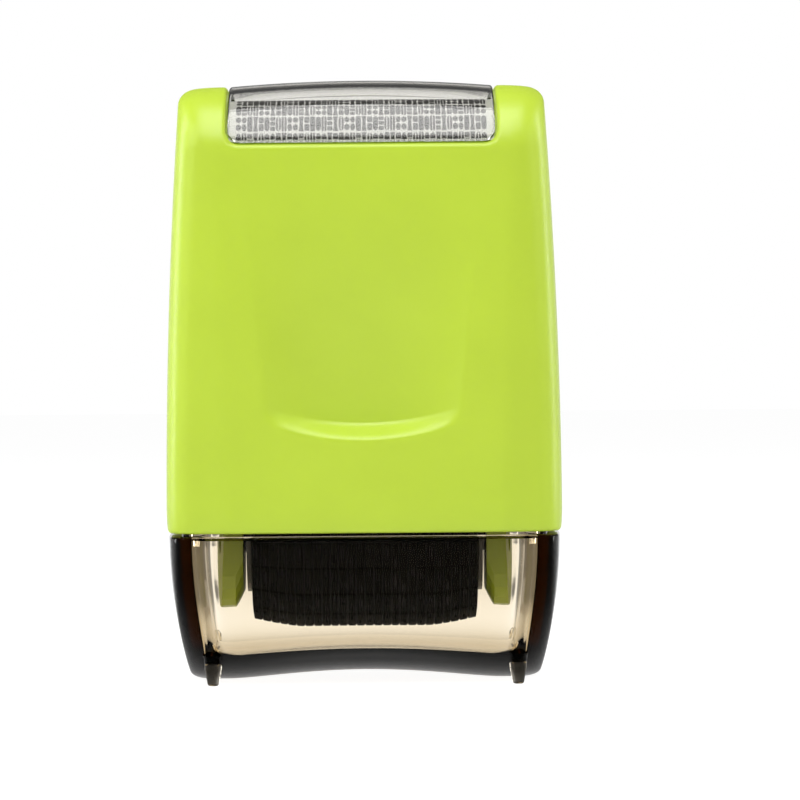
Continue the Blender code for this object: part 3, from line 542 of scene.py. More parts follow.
def round_rows(inset, count, lip_rows=False):
    """The rows over the housing's round top."""
    turns = [pi / 2 * step / count for step in range(count + 1)]
    if lip_rows:
        edge = asin((POCKET_BOTTOM - ROUND_START) / TOP_ROUND)
        reach = POCKET_LIP / TOP_ROUND
        turns += [edge - reach * share for share in LIP_STEPS_SHARES if edge > reach * share]
    rows = []
    for turn in sorted(turns):
        rows.append(housing_row(ROUND_START + (TOP_ROUND - inset) * sin(turn), inset))
    return rows


def corner_arc(half, bottom, corner):
    """Points (x, z) round an outline's lower right corner."""
    turns = [pi / 2 * step / ARC_STEPS for step in range(ARC_STEPS + 1)]
    return [(half - corner + corner * sin(turn), bottom + corner - corner * cos(turn)) for turn in turns]


def rounded_outline(half, bottom, corner, top):
    """An outline from the front, round at its two lower corners."""
    right = corner_arc(half, bottom, corner) + [(half, top)]
    return right + [(-x, z) for x, z in reversed(right)]


def capped(name, rings):
    """A lofted solid closed by flat ends."""
    made = Solid()
    made.loft(rings, True)
    return made.mesh(name)


def make_housing(look):
    """The one-piece housing: a shell with dents, cut by the window's pocket."""
    shell = Solid()
    outer = shell.loft(housing_rows(0.0, True) + round_rows(0.0, ROUND_ROWS, True))
    rings = housing_rows(HOUSING_WALL, False)
    rings.append(housing_row(ROUND_START - CEILING_DEPTH + HOUSING_WALL, HOUSING_WALL))
    rings += round_rows(CEILING_DEPTH, CEILING_ROWS)
    inner = shell.loft(rings)
    shell.skin(outer[0], inner[0])
    shell.across(outer[-1])
    shell.across(inner[-1])
    mesh = shell.mesh("green_housing")
    made = place("green_housing", mesh, look, "housing", "green_plastic", "housing_shell")
    outline = rounded_outline(POCKET_HALF, POCKET_BOTTOM, POCKET_CORNER, SHOULDER_HEIGHT + CUT_OVER)
    ends = (-HALF_DEPTH - CUT_OVER, HALF_DEPTH + CUT_OVER)
    block = add("pocket", capped("pocket", [[(x, y, z) for x, z in outline] for y in ends]))
    rings = [housing_row(ROUND_START - CUT_OVER, POCKET_DEPTH)] + round_rows(POCKET_DEPTH, POCKET_ROWS)
    core = add("pocket_core", capped("pocket_core", rings))
    boolean(block, [("DIFFERENCE", core)])
    boolean(made, [("DIFFERENCE", block)])


def crest(height, inset, crown_share):
    """The window's half depth and swollen height where the round skin is at a height."""
    top = ROUND_START + TOP_ROUND - inset
    bottom = POCKET_BOTTOM
    swell = WINDOW_CROWN * crown_share * ((height - bottom) / (top - bottom)) ** 2 * CROWN_EDGE_SHARE
    return face_half(height, inset), height + swell


def arch(inset, bottom, crown_share, rows, columns):
    """Points (y, z) over the top at one inset, from the front's lower edge to the back's."""
    reach = TOP_ROUND - inset
    start = asin(min(max((bottom - ROUND_START) / reach, -1.0), 1.0))
    front = []
    for step in range(rows + 1):
        height = ROUND_START + reach * sin(start + (pi / 2 - start) * step / rows)
        y, z = crest(height, inset, crown_share)
        front.append((-y, z))
    top = ROUND_START + reach
    flat = []
    for step in range(1, columns):
        y = TOP_FLAT * (2 * step / columns - 1)
        bulge = CROWN_EDGE_SHARE + (1 - CROWN_EDGE_SHARE) * (1 - (y / TOP_FLAT) ** 2)
        flat.append((y, top + WINDOW_CROWN * crown_share * bulge))
    return front + flat + [(-y, z) for y, z in reversed(front)]


def walk(path):
    """The way walked along a path, at each of its points."""
    walked = [0.0]
    for start, end in zip(path, path[1:]):
        walked.append(walked[-1] + hypot(end[0] - start[0], end[1] - start[1]))
    return walked


def arched_solid(stations, outer_inset, inner_inset, rows, columns, edge=0.0):
    """A sheet bent over the top. A station has x, a lower edge, a crown and a distance from the side."""
    made = Solid()
    rings = []
    for x, bottom, crown, reach in stations:
        outer = arch(outer_inset, bottom, crown, rows, columns)
        inner = arch(inner_inset, bottom, crown, rows, columns)
        walked = walk(outer)
        top = []
        for (y, z), (under_y, under_z), way in zip(outer, inner, walked):
            drop = round_over(min(way, walked[-1] - way, reach), edge) if edge else 0.0
            share = min(drop / hypot(y - under_y, z - under_z), 1.0)
            top.append((y + (under_y - y) * share, z + (under_z - z) * share))
        rings.append([(x, y, z) for y, z in top + inner[::-1]])
    lines = made.loft(rings)
    half = len(lines[0]) // 2
    for row in (lines[0], lines[-1]):
        for index in range(half - 1):
            made.faces.append((row[index], row[index + 1], row[-index - 2], row[-index - 1]))
    return made


def make_window(look):
    """The clear window with its round edges and crown."""
    bottom = window_low.z
    flat = WINDOW_HALF - WINDOW_CORNER
    right = [(flat * step / WINDOW_COLUMNS, bottom) for step in range(WINDOW_COLUMNS)]
    right += corner_arc(WINDOW_HALF, bottom, WINDOW_CORNER)
    line = [(-x, low) for x, low in reversed(right[1:])] + right
    stations = [(x, low, 1 - (x / WINDOW_HALF) ** 2, WINDOW_HALF - abs(x)) for x, low in line]
    made = arched_solid(stations, 0.0, WINDOW_WALL, WINDOW_ROWS, TOP_COLUMNS, WINDOW_LIP)
    place("clear_window", made.mesh("clear_window"), look, "housing", "smoked_plastic", "window_lens")


# The card and its print


def on_card(path, walked, x, way, rise):
    """A point over the card at a way along it, raised off its face."""
    index = min(max(bisect(walked, way) - 1, 0), len(path) - 2)
    start, end = path[index], path[index + 1]
    share = (way - walked[index]) / (walked[index + 1] - walked[index])
    along = Vector((end[0] - start[0], end[1] - start[1])).normalized()
    y = start[0] + (end[0] - start[0]) * share - along.y * rise
    z = start[1] + (end[1] - start[1]) * share + along.x * rise
    return (x, y, z)


# Half the widths of the printed shapes. Each takes a height share from -1 to 1.


def oval(share):
    """A full oval."""
    return OVAL_SHARE * max(1 - abs(share) ** OVAL_POWER, 0.0) ** (1 / OVAL_POWER)


def lozenge(share):
    """A blunt lozenge."""
    return LOZENGE_SHARE - LOZENGE_TIP_SHARE * abs(share)


def brick(share):
    """A block with soft corners."""
    return BRICK_SHARE - BRICK_TIP_SHARE * abs(share) ** BRICK_POWER


def waist(share):
    """An hourglass."""
    return WAIST_SHARE + WAIST_TIP_SHARE * share * share


def stack(count, half):
    """Equal shapes one over the other: low and high end, left and right edge."""
    shapes = []
    gap = STACK_GAP_SHARE if count > 1 else 0.0
    for index in range(count):
        low = -1 + 2 * index / count + gap
        high = -1 + 2 * (index + 1) / count - gap

        def reach(share, low=low, high=high):
            return half(2 * (share - low) / (high - low) - 1)

        shapes.append((low, high, lambda share, reach=reach: -reach(share), reach))
    return tuple(shapes)


def split(half, gap):
    """A shape with a slit down its middle."""
    left = (-1.0, 1.0, lambda share: -half(share), lambda share: -gap)
    return (left, (-1.0, 1.0, lambda share: gap, half))


MOTIFS = (
    stack(1, oval),
    stack(2, lozenge),
    stack(3, brick),
    stack(1, waist),
    stack(2, oval),
    split(brick, BRICK_SLIT_SHARE),
    stack(2, brick),
    split(oval, OVAL_SLIT_SHARE),
    stack(1, brick),
)
MOTIF_ORDER = (0, 5, 2, 3, 7, 4, 1, 8, 3, 6, 0, 2, 7, 5, 1, 4, 3, 6, 8)


def print_shape(solid, path, walked, centre, middle, tall, shape):
    """Adds one printed shape, as a thin slab on the card. A negative height turns it over."""
    start, end, left, right = shape
    wide = MOTIF_PITCH / 2
    steps = max(LEAST_PRINT_STEPS, round(PRINT_STEPS * (end - start) / 2))
    lines = []
    for step in range(steps + 1):
        share = start + (end - start) * step / steps
        way = middle + tall * share
        if PRINT_MARGIN < way < walked[-1] - PRINT_MARGIN:
            low = centre + wide * left(share)
            high = centre + wide * right(share)
            square = [(low, PRINT_RISE), (high, PRINT_RISE), (high, -PRINT_RISE), (low, -PRINT_RISE)]
            lines.append([on_card(path, walked, x, way, rise) for x, rise in square])
    if len(lines) > 1:
        solid.loft(lines, True)


def make_card(card_look, print_look):
    """The card under the window, with rows of plain shapes printed on it."""
    edges = (-CARD_HALF - CARD_MARGIN, 0.0, CARD_HALF + CARD_MARGIN)
    stations = [(x, CARD_BOTTOM, 0.0, 0.0) for x in edges]
    made = arched_solid(stations, CARD_INSET, CARD_INSET + CARD_THICKNESS, CARD_ROWS, TOP_COLUMNS)
    mesh = made.mesh("pattern_card")
    place("pattern_card", mesh, card_look, "housing", "printed_card", "pattern_label")
    path = arch(CARD_INSET, CARD_BOTTOM, 0.0, CARD_ROWS, TOP_COLUMNS)
    walked = walk(path)
    shapes = Solid()
    count = int(2 * CARD_HALF / MOTIF_PITCH)
    for row in range(int((walked[-1] - ROW_PHASE) / ROW_PITCH) + 2):
        low = ROW_PHASE + (row - 1) * ROW_PITCH + ROW_PITCH * (1 - ROW_FILL_SHARE) / 2
        high = low + ROW_PITCH * ROW_FILL_SHARE
        tall = (low - high) / 2 if row % 2 else (high - low) / 2
        for column in range(count):
            centre = (column - (count - 1) / 2) * MOTIF_PITCH
            for shape in MOTIFS[MOTIF_ORDER[(column + MOTIF_SHIFT * row) % len(MOTIF_ORDER)]]:
                print_shape(shapes, path, walked, centre, (low + high) / 2, tall, shape)
    place("card_print", shapes.mesh("card_print"), print_look, "housing", "printed_card")


# The cap


def cap_half(height, wall):
    """Half the cap's width at a height: drawn in towards a round heel."""
    drop = max(CAP_TOP - height, 0.0) / (CAP_TOP - CAP_LOW)
    half = CAP_HALF_WIDTH - CAP_SIDE_DRAW * drop**2 - wall
    heel_top = CAP_LOW + (CAP_FLOOR if wall else 0.0) + CAP_HEEL
    below = min(max(heel_top - height, 0.0) / CAP_HEEL, 1.0)
    return half - CAP_HEEL * (1 - sqrt(1 - below**2))


def saddle(x, height):
    """How far the hollow underside lifts a point, fading upwards."""
    across = min(abs(x) / CAP_SADDLE_HALF, 1.0)
    fade = 1 - max(height - CAP_LOW - CAP_FLOOR, 0.0) / (CAP_TOP - CAP_LOW)
    return CAP_SADDLE * (1 - across**2) ** SADDLE_SIDE_POWER * max(fade, 0.0) ** SADDLE_RISE_POWER


def cap_row(height, half_width, half_depth, corner, inside=False):
    """One row of the cap. Inside, the faces fall back to the corners more steeply."""
    if inside:
        panel = INNER_CREASE * half_width / (CAP_HALF_WIDTH - CAP_SIDE_WALL)
        slope = INNER_SLOPE * min(half_depth / (CAP_HALF_DEPTH - CAP_FACE_WALL), 1.0)
    else:
        panel = PANEL_LOW * half_width / CAP_HALF_WIDTH
        slope = BAND_SLOPE * half_depth / CAP_HALF_DEPTH
    stops = [panel * column / CAP_FACE_COLUMNS for column in range(CAP_FACE_COLUMNS + 1)]
    ring = plan(half_width, half_depth, panel, slope, corner, stops)
    return [(x, y, height + saddle(x, height)) for x, y in ring]


def cap_curve(half_depth, wall, low, corner, power, thickening=0.0):
    """The cap's rows round its front, underside and back. The wall may thicken softly upwards."""
    start = CAP_TOP - CAP_STRAIGHT
    rows = []
    for step in range(CAP_ROWS + 1):
        turn = CAP_CURVE_END * sin(pi / 2 * step / CAP_ROWS) ** CAP_CURVE_EASE
        height = start - (start - low) * sin(turn) ** (2 / power)
        depth = half_depth * cos(turn) ** (2 / power) - thickening * wall_growth(height)
        rows.append(cap_row(height, cap_half(height, wall), depth, corner, wall > 0))
    return rows


def wall_growth(height):
    """The share of its full thickening that the cap's face wall has at a height."""
    return smoothstep((height - GROWTH_LOW) / (CAP_TOP - TONGUE_FOOT_DROP - GROWTH_LOW))


def foot_mesh(x, y):
    """One glassy foot, round at its tip and flared at its root."""
    profile = []
    flat = FOOT_TIP_RADIUS - FOOT_TIP_ROUND
    for step in range(FOOT_ROUND_STEPS + 1):
        turn = pi / 2 * step / FOOT_ROUND_STEPS
        profile.append((flat + FOOT_TIP_ROUND * sin(turn), FOOT_TIP_ROUND * (1 - cos(turn))))
    profile.append((FOOT_SHANK_RADIUS, FOOT_SHANK_HEIGHT))
    for step in range(1, FOOT_ROUND_STEPS + 1):
        share = step / FOOT_ROUND_STEPS
        radius = FOOT_SHANK_RADIUS + (FOOT_ROOT_RADIUS - FOOT_SHANK_RADIUS) * share**2
        profile.append((radius, FOOT_SHANK_HEIGHT + (FOOT_ROOT_HEIGHT - FOOT_SHANK_HEIGHT) * share))
    profile.append((FOOT_TIP_RADIUS, FOOT_ROOT_HEIGHT + FOOT_SUNK_HEIGHT))
    turns = [2 * pi * side / FOOT_SIDES for side in range(FOOT_SIDES)]
    rings = []
    for radius, height in profile:
        rings.append([(x + radius * cos(turn), y + radius * sin(turn), height) for turn in turns])
    return capped("foot", rings)


def make_cap(look):
    """The clear pull-off cap with its tongue, hollow, saddle and feet."""
    outer_corner = CORNER_RADIUS - (HALF_WIDTH - CAP_HALF_WIDTH)
    tongue_width = HALF_WIDTH - HOUSING_WALL - TONGUE_GAP
    tongue_depth = HALF_DEPTH - HOUSING_WALL - TONGUE_GAP
    tongue_corner = CORNER_RADIUS - HOUSING_WALL - TONGUE_GAP
    inner_width = tongue_width - TONGUE_WALL
    inner_depth = tongue_depth - TONGUE_WALL
    foot_high = CAP_TOP - TONGUE_FOOT_DROP
    made = Solid()
    rings = [
        cap_row(TONGUE_TOP, tongue_width, tongue_depth, tongue_corner),
        cap_row(CAP_TOP, tongue_width, tongue_depth, tongue_corner),
    ]
    for share in LIP_STEPS_SHARES:
        edge = round_over(LEDGE_ROUND * share, LEDGE_ROUND)
        height = CAP_TOP - LEDGE_ROUND * share
        rings.append(cap_row(height, CAP_HALF_WIDTH - edge, CAP_HALF_DEPTH - edge, outer_corner))
    for step in range(1, CAP_SIDE_ROWS):
        height = CAP_TOP - LEDGE_ROUND - (CAP_STRAIGHT - LEDGE_ROUND) * step / CAP_SIDE_ROWS
        rings.append(cap_row(height, cap_half(height, 0.0), CAP_HALF_DEPTH, outer_corner))
    outer = made.loft(rings + cap_curve(CAP_HALF_DEPTH, 0.0, CAP_LOW, outer_corner, CAP_CURVE_POWER))
    cavity_depth = CAP_HALF_DEPTH - CAP_FACE_WALL
    thickening = cavity_depth - inner_depth
    rings = [cap_row(TONGUE_TOP, inner_width, inner_depth, INNER_CORNER, True)]
    curve_start = CAP_TOP - CAP_STRAIGHT
    for step in range(TONGUE_ROWS):
        height = foot_high + (curve_start - foot_high) * step / TONGUE_ROWS
        depth = cavity_depth - thickening * wall_growth(height)
        rings.append(cap_row(height, cap_half(height, CAP_SIDE_WALL), depth, INNER_CORNER, True))
    floor_low = CAP_LOW + CAP_FLOOR
    hollow = cap_curve(cavity_depth, CAP_SIDE_WALL, floor_low, INNER_CORNER, HOLLOW_POWER, thickening)
    inner = made.loft(rings + hollow)
    made.skin(outer[0], inner[0])
    made.across(outer[-1])
    made.across(inner[-1])
    cap = place("clear_cap", made.mesh("clear_cap"), look, "cap", "smoked_plastic", "cap_shell")
    feet = []
    for x in (-FOOT_X, FOOT_X):
        for y in (-FOOT_Y, FOOT_Y):
            feet.append(("UNION", add("foot", foot_mesh(x, y))))
    boolean(cap, feet)


# The relief sleeve


def relief(column, row, along, around):
    """The share that a place in one block is raised. Blocks are pierced in one of a few ways."""
    if abs(around) > ROW_REACH_SHARE:
        return 0.0
    if abs(along) > COLUMN_REACH_SHARE:
        return GROOVE_SHARE
    hole = (column * HOLE_COLUMN_SHIFT + row * HOLE_ROW_SHIFT) % len(HOLE_PLACE_SHARES)
    low, high, wide = HOLE_PLACE_SHARES[hole]
    if low < around < high and abs(along) < wide:
        return HOLE_SHARE
    return 1.0


def sleeve_radius(x):
    """The radius of the relief's top along the sleeve, drawn in near its ends."""
    taper = max(abs(x) - (SLEEVE_HALF - RELIEF_TAPER), 0.0) / RELIEF_TAPER
    return SLEEVE_RADIUS - RELIEF_CROWN * taper**RELIEF_TAPER_POWER


def make_sleeve(look):
    """The rubber sleeve with rows of plain raised shapes."""
    made = Solid()
    turns = [2 * pi * step / RELIEF_AROUND for step in range(RELIEF_AROUND)]
    rings = []
    for along in range(RELIEF_ALONG + 1):
        x = SLEEVE_HALF * (2 * along / RELIEF_ALONG - 1)
        columns = (x / SLEEVE_HALF + 1) / 2 * RELIEF_COLUMNS
        column = min(int(columns), RELIEF_COLUMNS - 1)
        ring = []
        for around, turn in enumerate(turns):
            rows = RELIEF_ROWS * around / RELIEF_AROUND
            raised = 0.0
            if 0 < along < RELIEF_ALONG:
                raised = relief(column, int(rows), 2 * (columns - column) - 1, 2 * (rows - int(rows)) - 1)
            radius = sleeve_radius(x) - RELIEF_HEIGHT * (1 - raised)
            ring.append((x, radius * cos(turn), SLEEVE_AXIS + radius * sin(turn)))
        rings.append(ring)
    bore = []
    for x in (-SLEEVE_HALF, SLEEVE_HALF):
        ring = [(x, SLEEVE_BORE * cos(turn), SLEEVE_AXIS + SLEEVE_BORE * sin(turn)) for turn in turns]
        bore.append(ring)
    outer = made.loft(rings)
    inner = made.loft(bore)
    made.skin(outer[0], inner[0])
    made.skin(outer[-1], inner[-1])
    mesh = made.mesh("relief_sleeve", RELIEF_SHARP_ANGLE)
    place("relief_sleeve", mesh, look, "print_roller", "black_rubber", "print_sleeve")


# The springs


def make_springs(look):
    """The two coil springs over the ink roller's bearings, built at one length; they don't shorten here as
    the bearings rise.
    """
    count = SPRING_TURNS * SPRING_STEPS
    sides = [2 * pi * side / WIRE_SIDES for side in range(WIRE_SIDES)]
    for name in ("left_ink_spring", "right_ink_spring"):
        low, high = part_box(name)
        middle = (low + high) / 2
        coil = middle.x - low.x - SPRING_WIRE_RADIUS
        rise = high.z - low.z - 2 * SPRING_WIRE_RADIUS
        rings = []
        for step in range(count + 1):
            turn = 2 * pi * step / SPRING_STEPS
            outward = Vector((cos(turn), sin(turn), 0.0))
            along = Vector((-coil * sin(turn), coil * cos(turn), rise / (2 * pi * SPRING_TURNS)))
            across = along.normalized().cross(outward)
            foot = Vector((middle.x, middle.y, low.z + SPRING_WIRE_RADIUS))
            centre = foot + coil * outward + Vector((0.0, 0.0, rise * step / count))
            ring = []
            for side in sides:
                ring.append(centre + SPRING_WIRE_RADIUS * (cos(side) * outward + sin(side) * across))
            rings.append(ring)
        title = name + "_coil"
        made = place(title, capped(title, rings), look, "housing", "spring_steel", name)
        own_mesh(made)


# Finishes


def feed(node, inputs):
    """Gives a node's inputs plain values or other nodes' outputs, and returns the node's own outputs."""
    for name, value in inputs.items():
        if isinstance(value, bpy.types.NodeSocket):
            node.id_data.links.new(value, node.inputs[name])
        else:
            node.inputs[name].default_value = value
    return node.outputs


def map_value(tree, value, start, end, at_start, at_end, kind="SMOOTHSTEP"):
    """A change from one number to another while a value goes from start to end."""
    made = tree.nodes.new("ShaderNodeMapRange")
    made.interpolation_type = kind
    numbers = {"From Min": start, "From Max": end, "To Min": at_start, "To Max": at_end}
    return feed(made, {"Value": value, **numbers})["Result"]


def combine(tree, operation, *values):
    """A maths node's result from other nodes' outputs and plain numbers."""
    made = tree.nodes.new("ShaderNodeMath")
    made.operation = operation
    return feed(made, dict(enumerate(values)))["Value"]


def mix_shaders(tree, share, first, second):
    """One shader blended into another by a share."""
    return feed(tree.nodes.new("ShaderNodeMixShader"), {"Fac": share, 1: first, 2: second})["Shader"]


class Look:
    """A Principled material and the nodes behind it."""

    def __init__(self, name, colour, roughness):
        self.material = bpy.data.materials.new(name)
        self.material.use_nodes = True
        self.tree = self.material.node_tree
        self.shader = self.tree.nodes["Principled BSDF"]
        self.place = self.tree.nodes.new("ShaderNodeTexCoord").outputs["Object"]
        self.finish({"Base Color": (*colour, 1.0), "Roughness": roughness})

    def finish(self, inputs):
        """Feeds the shader's inputs and returns the material."""
        feed(self.shader, inputs)
        return self.material

    def noise(self, scale, detail=2.0, roughness=0.5, distortion=0.0):
        """A noise texture's value, with its scale in cells per metre."""
        made = self.tree.nodes.new("ShaderNodeTexNoise")
        grain = {"Scale": scale, "Detail": detail, "Roughness": roughness, "Distortion": distortion}
        return feed(made, {"Vector": self.place, **grain})["Fac"]

    def cells(self, scale):
        """A cell texture's distance."""
        made = self.tree.nodes.new("ShaderNodeTexVoronoi")
        return feed(made, {"Vector": self.place, "Scale": scale})["Distance"]

    def ramp(self, value, low, high, from_low=0.0, from_high=1.0):
        """Maps a value to another range."""
        return map_value(self.tree, value, from_low, from_high, low, high, "LINEAR")

    def blend(self, factor, first, second):
        """Mixes two colours by a factor."""
        made = self.tree.nodes.new("ShaderNodeMix")
        made.data_type = "RGBA"
        return feed(made, {"Factor": factor, "A": (*first, 1.0), "B": (*second, 1.0)})["Result"]

    def bump(self, height, distance, strength):
        """A bump of a height texture."""
        made = self.tree.nodes.new("ShaderNodeBump")
        return feed(made, {"Height": height, "Distance": distance, "Strength": strength})["Normal"]


def green_plastic(name, shade):
    """Moulded plastic with a fine matte grain and faint flow marks."""
    look = Look(name, shade, roughness=0.42)
    cloud = look.noise(90.0, detail=3.0)
    fine = look.noise(2600.0)
    spots = look.ramp(cloud, 0.0, 1.0, from_low=0.3, from_high=0.7)
    darker, lighter = (tuple(value * share for value in shade) for share in TONE_SHARES)
    return look.finish(
        {
            "Base Color": look.blend(spots, darker, lighter),
            "Roughness": look.ramp(fine, 0.32, 0.44, from_low=0.3, from_high=0.7),
            "Normal": look.bump(fine, FINE_GRAIN, strength=0.6),
            "Specular IOR Level": 0.65,
            "Subsurface Weight": 0.08,
            "Subsurface Radius": (1.0, 1.0, 0.25),
            "Subsurface Scale": GREEN_REACH,
        }
    )


def smoked_plastic(name, colour, density, shine):
    """Polished smoked clear plastic: bends light, and darkens with the way through it."""
    look = Look(name, (1.0, 1.0, 1.0), roughness=0.015)
    look.finish(
        {
            "Transmission Weight": 1.0,
            "IOR": 1.49,
            "Specular Tint": (shine, shine, shine, 1.0),
            "Normal": look.bump(look.noise(160.0, detail=1.0), GLASS_WAVE, strength=0.35),
        }
    )
    nodes = look.tree.nodes
    shadow = nodes.new("ShaderNodeLightPath").outputs["Is Shadow Ray"]
    clear = feed(nodes.new("ShaderNodeBsdfTransparent"), {"Color": (0.92, 0.92, 0.92, 1.0)})["BSDF"]
    either = mix_shaders(look.tree, shadow, look.shader.outputs["BSDF"], clear)
    depth = feed(nodes.new("ShaderNodeVolumeAbsorption"), {"Color": (*colour, 1.0), "Density": density})
    feed(nodes["Material Output"], {"Surface": either, "Volume": depth["Volume"]})
    return look.material


def card_stock():
    """Pale card with a faint fibre."""
    look = Look("pale card", (0.48, 0.48, 0.46), roughness=0.5)
    fibre = look.noise(1800.0, detail=4.0, roughness=0.6, distortion=0.4)
    tone = look.blend(fibre, (0.44, 0.44, 0.42), (0.52, 0.52, 0.50))
    return look.finish({"Base Color": tone, "Normal": look.bump(fibre, COARSE_GRAIN, strength=0.4)})


def dark_print():
    """Black ink on the card."""
    look = Look("black ink", (0.016, 0.016, 0.015), roughness=0.45)
    fibre = look.noise(2200.0, detail=3.0)
    tone = look.blend(fibre, (0.011, 0.011, 0.010), (0.024, 0.023, 0.022))
    return look.finish({"Base Color": tone, "Roughness": look.ramp(fibre, 0.38, 0.55)})


def black_plastic():
    """Black moulded plastic with a soft sheen."""
    look = Look("black plastic", (0.012, 0.012, 0.012), roughness=0.34)
    grain = look.noise(2000.0)
    return look.finish(
        {
            "Base Color": look.blend(grain, (0.009, 0.009, 0.009), (0.017, 0.017, 0.016)),
            "Roughness": look.ramp(grain, 0.28, 0.42),
            "Normal": look.bump(grain, FINE_GRAIN, strength=0.5),
        }
    )


def black_rubber():
    """Inked black rubber: matte, with wetter patches."""
    look = Look("inked rubber", (0.006, 0.006, 0.005), roughness=0.5)
    patch = look.noise(420.0, detail=3.0)
    grain = look.noise(3000.0)
    return look.finish(
        {
            "Base Color": look.blend(patch, (0.002, 0.002, 0.002), (0.004, 0.004, 0.0035)),
            "Roughness": look.ramp(patch, 0.5, 0.7, from_low=0.3, from_high=0.7),
            "Normal": look.bump(grain, COARSE_GRAIN, strength=0.5),
            "Specular IOR Level": 0.03,
        }
    )


def inked_foam():
    """Fine open foam full of black ink, with painted shade in its pores."""
    look = Look("inked foam", (0.012, 0.012, 0.015), roughness=0.85)
    pores = look.cells(2600.0)
    # Darker towards each pore's middle, where the bump sinks in: painted shade in the pores.
    depth = look.ramp(pores, 0.0, 1.0, from_high=0.6)
    tone = look.blend(depth, (0.004, 0.004, 0.006), (0.022, 0.022, 0.027))
    return look.finish({"Base Color": tone, "Normal": look.bump(pores, FOAM_PORE, strength=0.9)})


def white_plastic():
    """White slippery bearing plastic."""
    look = Look("white bearing plastic", (0.80, 0.80, 0.77), roughness=0.35)
    cloud = look.noise(500.0)
    tone = look.blend(cloud, (0.76, 0.76, 0.72), (0.83, 0.83, 0.80))
    return look.finish({"Base Color": tone, "Roughness": look.ramp(cloud, 0.28, 0.42)})


def spring_steel():
    """Bright drawn wire."""
    look = Look("spring wire", (0.62, 0.62, 0.63), roughness=0.26)
    drawn = look.ramp(look.noise(1500.0), 0.2, 0.34)
    return look.finish({"Metallic": 1.0, "Roughness": drawn})


# The stage


def per_ray(tree, camera, transmission, glossy):
    """A number that differs for the rays that see the stage directly, through glass, or mirrored."""
    rays = tree.nodes.new("ShaderNodeLightPath").outputs
    mirrored = combine(tree, "GREATER_THAN", rays["Is Glossy Ray"], rays["Is Transmission Ray"])
    total = combine(tree, "MULTIPLY", rays["Is Camera Ray"], camera)
    total = combine(tree, "MULTIPLY_ADD", rays["Is Transmission Ray"], transmission, total)
    return combine(tree, "MULTIPLY_ADD", mirrored, glossy, total)


def surroundings(tree, position, with_height):
    """What glass and gloss see of the stage: bright before and behind the object, dim at its sides."""
    scaled = tree.nodes.new("ShaderNodeVectorMath")
    scaled.operation = "NORMALIZE" if with_height else "SCALE"
    if not with_height:
        feed(scaled, {"Scale": 1 / FLOOR_SCALE})
    spread = feed(scaled, {0: position})["Vector"]
    parts = feed(tree.nodes.new("ShaderNodeSeparateXYZ"), {"Vector": spread})
    through = map_value(tree, combine(tree, "ABSOLUTE", parts["X"]), *THROUGH_SIDES)
    mirrored = map_value(tree, parts["Y"], *MIRRORED_DEPTHS)
    if with_height:
        low = map_value(tree, parts["Z"], *THROUGH_HEIGHTS)
        dim = map_value(tree, parts["Z"], *MIRRORED_HEIGHTS)
        return combine(tree, "MULTIPLY", through, low), combine(tree, "MULTIPLY", mirrored, dim)
    reach = tree.nodes.new("ShaderNodeVectorMath")
    reach.operation = "LENGTH"
    near = map_value(tree, feed(reach, {0: position})["Value"], *MIRRORED_NEAR)
    return through, combine(tree, "MAXIMUM", mirrored, near)


def floor_look():
    """A pale floor that keeps a soft shadow and joins the white background."""
    look = Look("pale floor", (0.9, 0.9, 0.9), roughness=0.9)
    tree = look.tree
    look.finish({"Specular IOR Level": 0.0})
    through, mirrored = surroundings(tree, look.place, False)
    strength = per_ray(tree, FLOOR_GLOW, through, mirrored)
    glow = feed(tree.nodes.new("ShaderNodeEmission"), {"Strength": strength})["Emission"]
    share = per_ray(tree, FLOOR_GLOW_SHARE, FLOOR_MIRROR_SHARE, FLOOR_MIRROR_SHARE)
    mix = mix_shaders(tree, share, look.shader.outputs["BSDF"], glow)
    feed(tree.nodes["Material Output"], {"Surface": mix})
    return look.material


def make_stage():
    """The floor and the white surroundings."""
    mesh = bpy.data.meshes.new("floor")
    corners = [(FLOOR_REACH * x, FLOOR_REACH * y, 0.0) for x, y in ((-1, -1), (1, -1), (1, 1), (-1, 1))]
    mesh.from_pydata(corners, [], [(0, 1, 2, 3)])
    mesh.materials.append(floor_look())
    floor_piece = add("floor", mesh)
    world = bpy.data.worlds.new("soft surroundings")
    bpy.context.scene.world = world
    world.use_nodes = True
    tree = world.node_tree
    tree.nodes.clear()
    direction = tree.nodes.new("ShaderNodeTexCoord").outputs["Generated"]
    through, mirrored = surroundings(tree, direction, True)
    shades = []
    for strength in (FILL_GLOW, per_ray(tree, 1.0, through, mirrored)):
        inputs = {"Color": (1.0, 1.0, 1.0, 1.0), "Strength": strength}
        shades.append(feed(tree.nodes.new("ShaderNodeBackground"), inputs)["Background"])
    rays = tree.nodes.new("ShaderNodeLightPath").outputs
    seen = combine(tree, "MAXIMUM", rays["Is Camera Ray"], rays["Is Glossy Ray"])
    seen = combine(tree, "MAXIMUM", seen, rays["Is Transmission Ray"])
    feed(tree.nodes.new("ShaderNodeOutputWorld"), {"Surface": mix_shaders(tree, seen, *shades)})


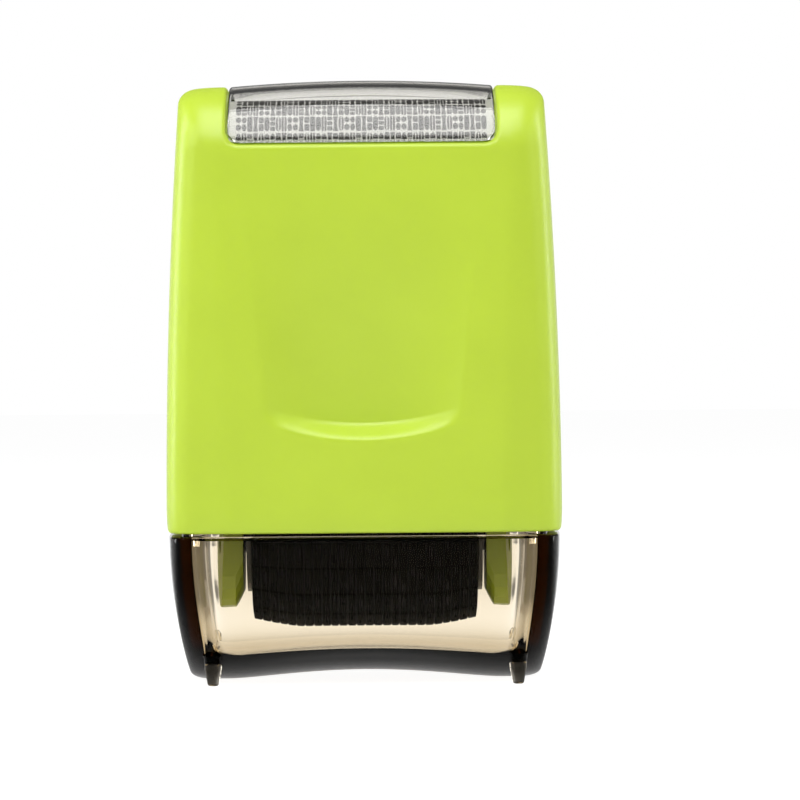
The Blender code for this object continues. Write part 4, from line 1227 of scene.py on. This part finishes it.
def softbox(name, azimuth, elevation, distance, wide, high, power):
    """A soft rectangular lamp that faces the object."""
    lamp = bpy.data.lights.new(name, "AREA")
    lamp.shape = "RECTANGLE"
    lamp.size = wide
    lamp.size_y = high
    lamp.energy = power
    made = add(name, lamp)
    turn = radians(azimuth)
    lift = radians(elevation)
    target = Vector((0.0, 0.0, LAMP_TARGET))
    away = Vector((sin(turn) * cos(lift), -cos(turn) * cos(lift), sin(lift)))
    made.location = target + away * distance
    made.rotation_euler = (-away).to_track_quat("-Z", "Y").to_euler()


def make_lights():
    """A large key from above and the upper left, a weaker fill from either side, and two rims."""
    for lamp in LAMPS:
        softbox(*lamp)


def make_camera():
    """The photograph's view, from straight in front."""
    distance = 0.370
    eye_height = 0.030
    pixels = 800
    pixels_per_metre = 9920.0
    centre_x = 363.3
    centre_y = 379.6
    roll = radians(-0.48)
    data = bpy.data.cameras.new("camera")
    data.sensor_width = 36.0
    data.lens = data.sensor_width * distance * pixels_per_metre / pixels
    data.shift_x = (pixels / 2 - centre_x) / pixels
    data.shift_y = (centre_y - pixels / 2) / pixels
    data.clip_start = 0.01
    data.clip_end = 20.0
    camera = add("camera", data)
    camera.location = (0.0, -distance, eye_height)
    turned = Matrix.Rotation(pi / 2, 3, "X") @ Matrix.Rotation(roll, 3, "Z")
    camera.rotation_euler = turned.to_euler()
    bpy.context.scene.camera = camera


def dress(look, *names):
    """Gives the frame's own nodes a finish."""
    for name in names:
        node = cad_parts[name]
        node.data.materials.clear()
        node.data.materials.append(look)


make_camera()
make_stage()
make_lights()
green = green_plastic("lime plastic", (0.525, 0.705, 0.040))
# A darkened copy of the lime green for the carrier: painted shade for its place inside the cap, under the
# housing.
shaded_carrier_green = green_plastic("carrier green with painted shade", (0.33, 0.42, 0.022))
black = black_plastic()
white = white_plastic()
smoke = smoked_plastic("smoked cap plastic", (0.62, 0.49, 0.22), density=510.0, shine=0.1)
pane = smoked_plastic("smoked window plastic", (0.30, 0.26, 0.16), density=300.0, shine=1.0)
make_housing(green)
make_window(pane)
make_card(card_stock(), dark_print())
make_cap(smoke)
make_sleeve(black_rubber())
make_springs(spring_steel())
# The carrier takes the darkened green, its painted shade.
dress(shaded_carrier_green, "carrier_frame")
dress(black, "print_hub", "left_hub_cap", "right_hub_cap", "ink_core", "left_ink_disc", "right_ink_disc")
dress(inked_foam(), "ink_foam")
dress(white, "left_ink_bearing", "right_ink_bearing")
bpy.context.scene.view_settings.view_transform = "Standard"
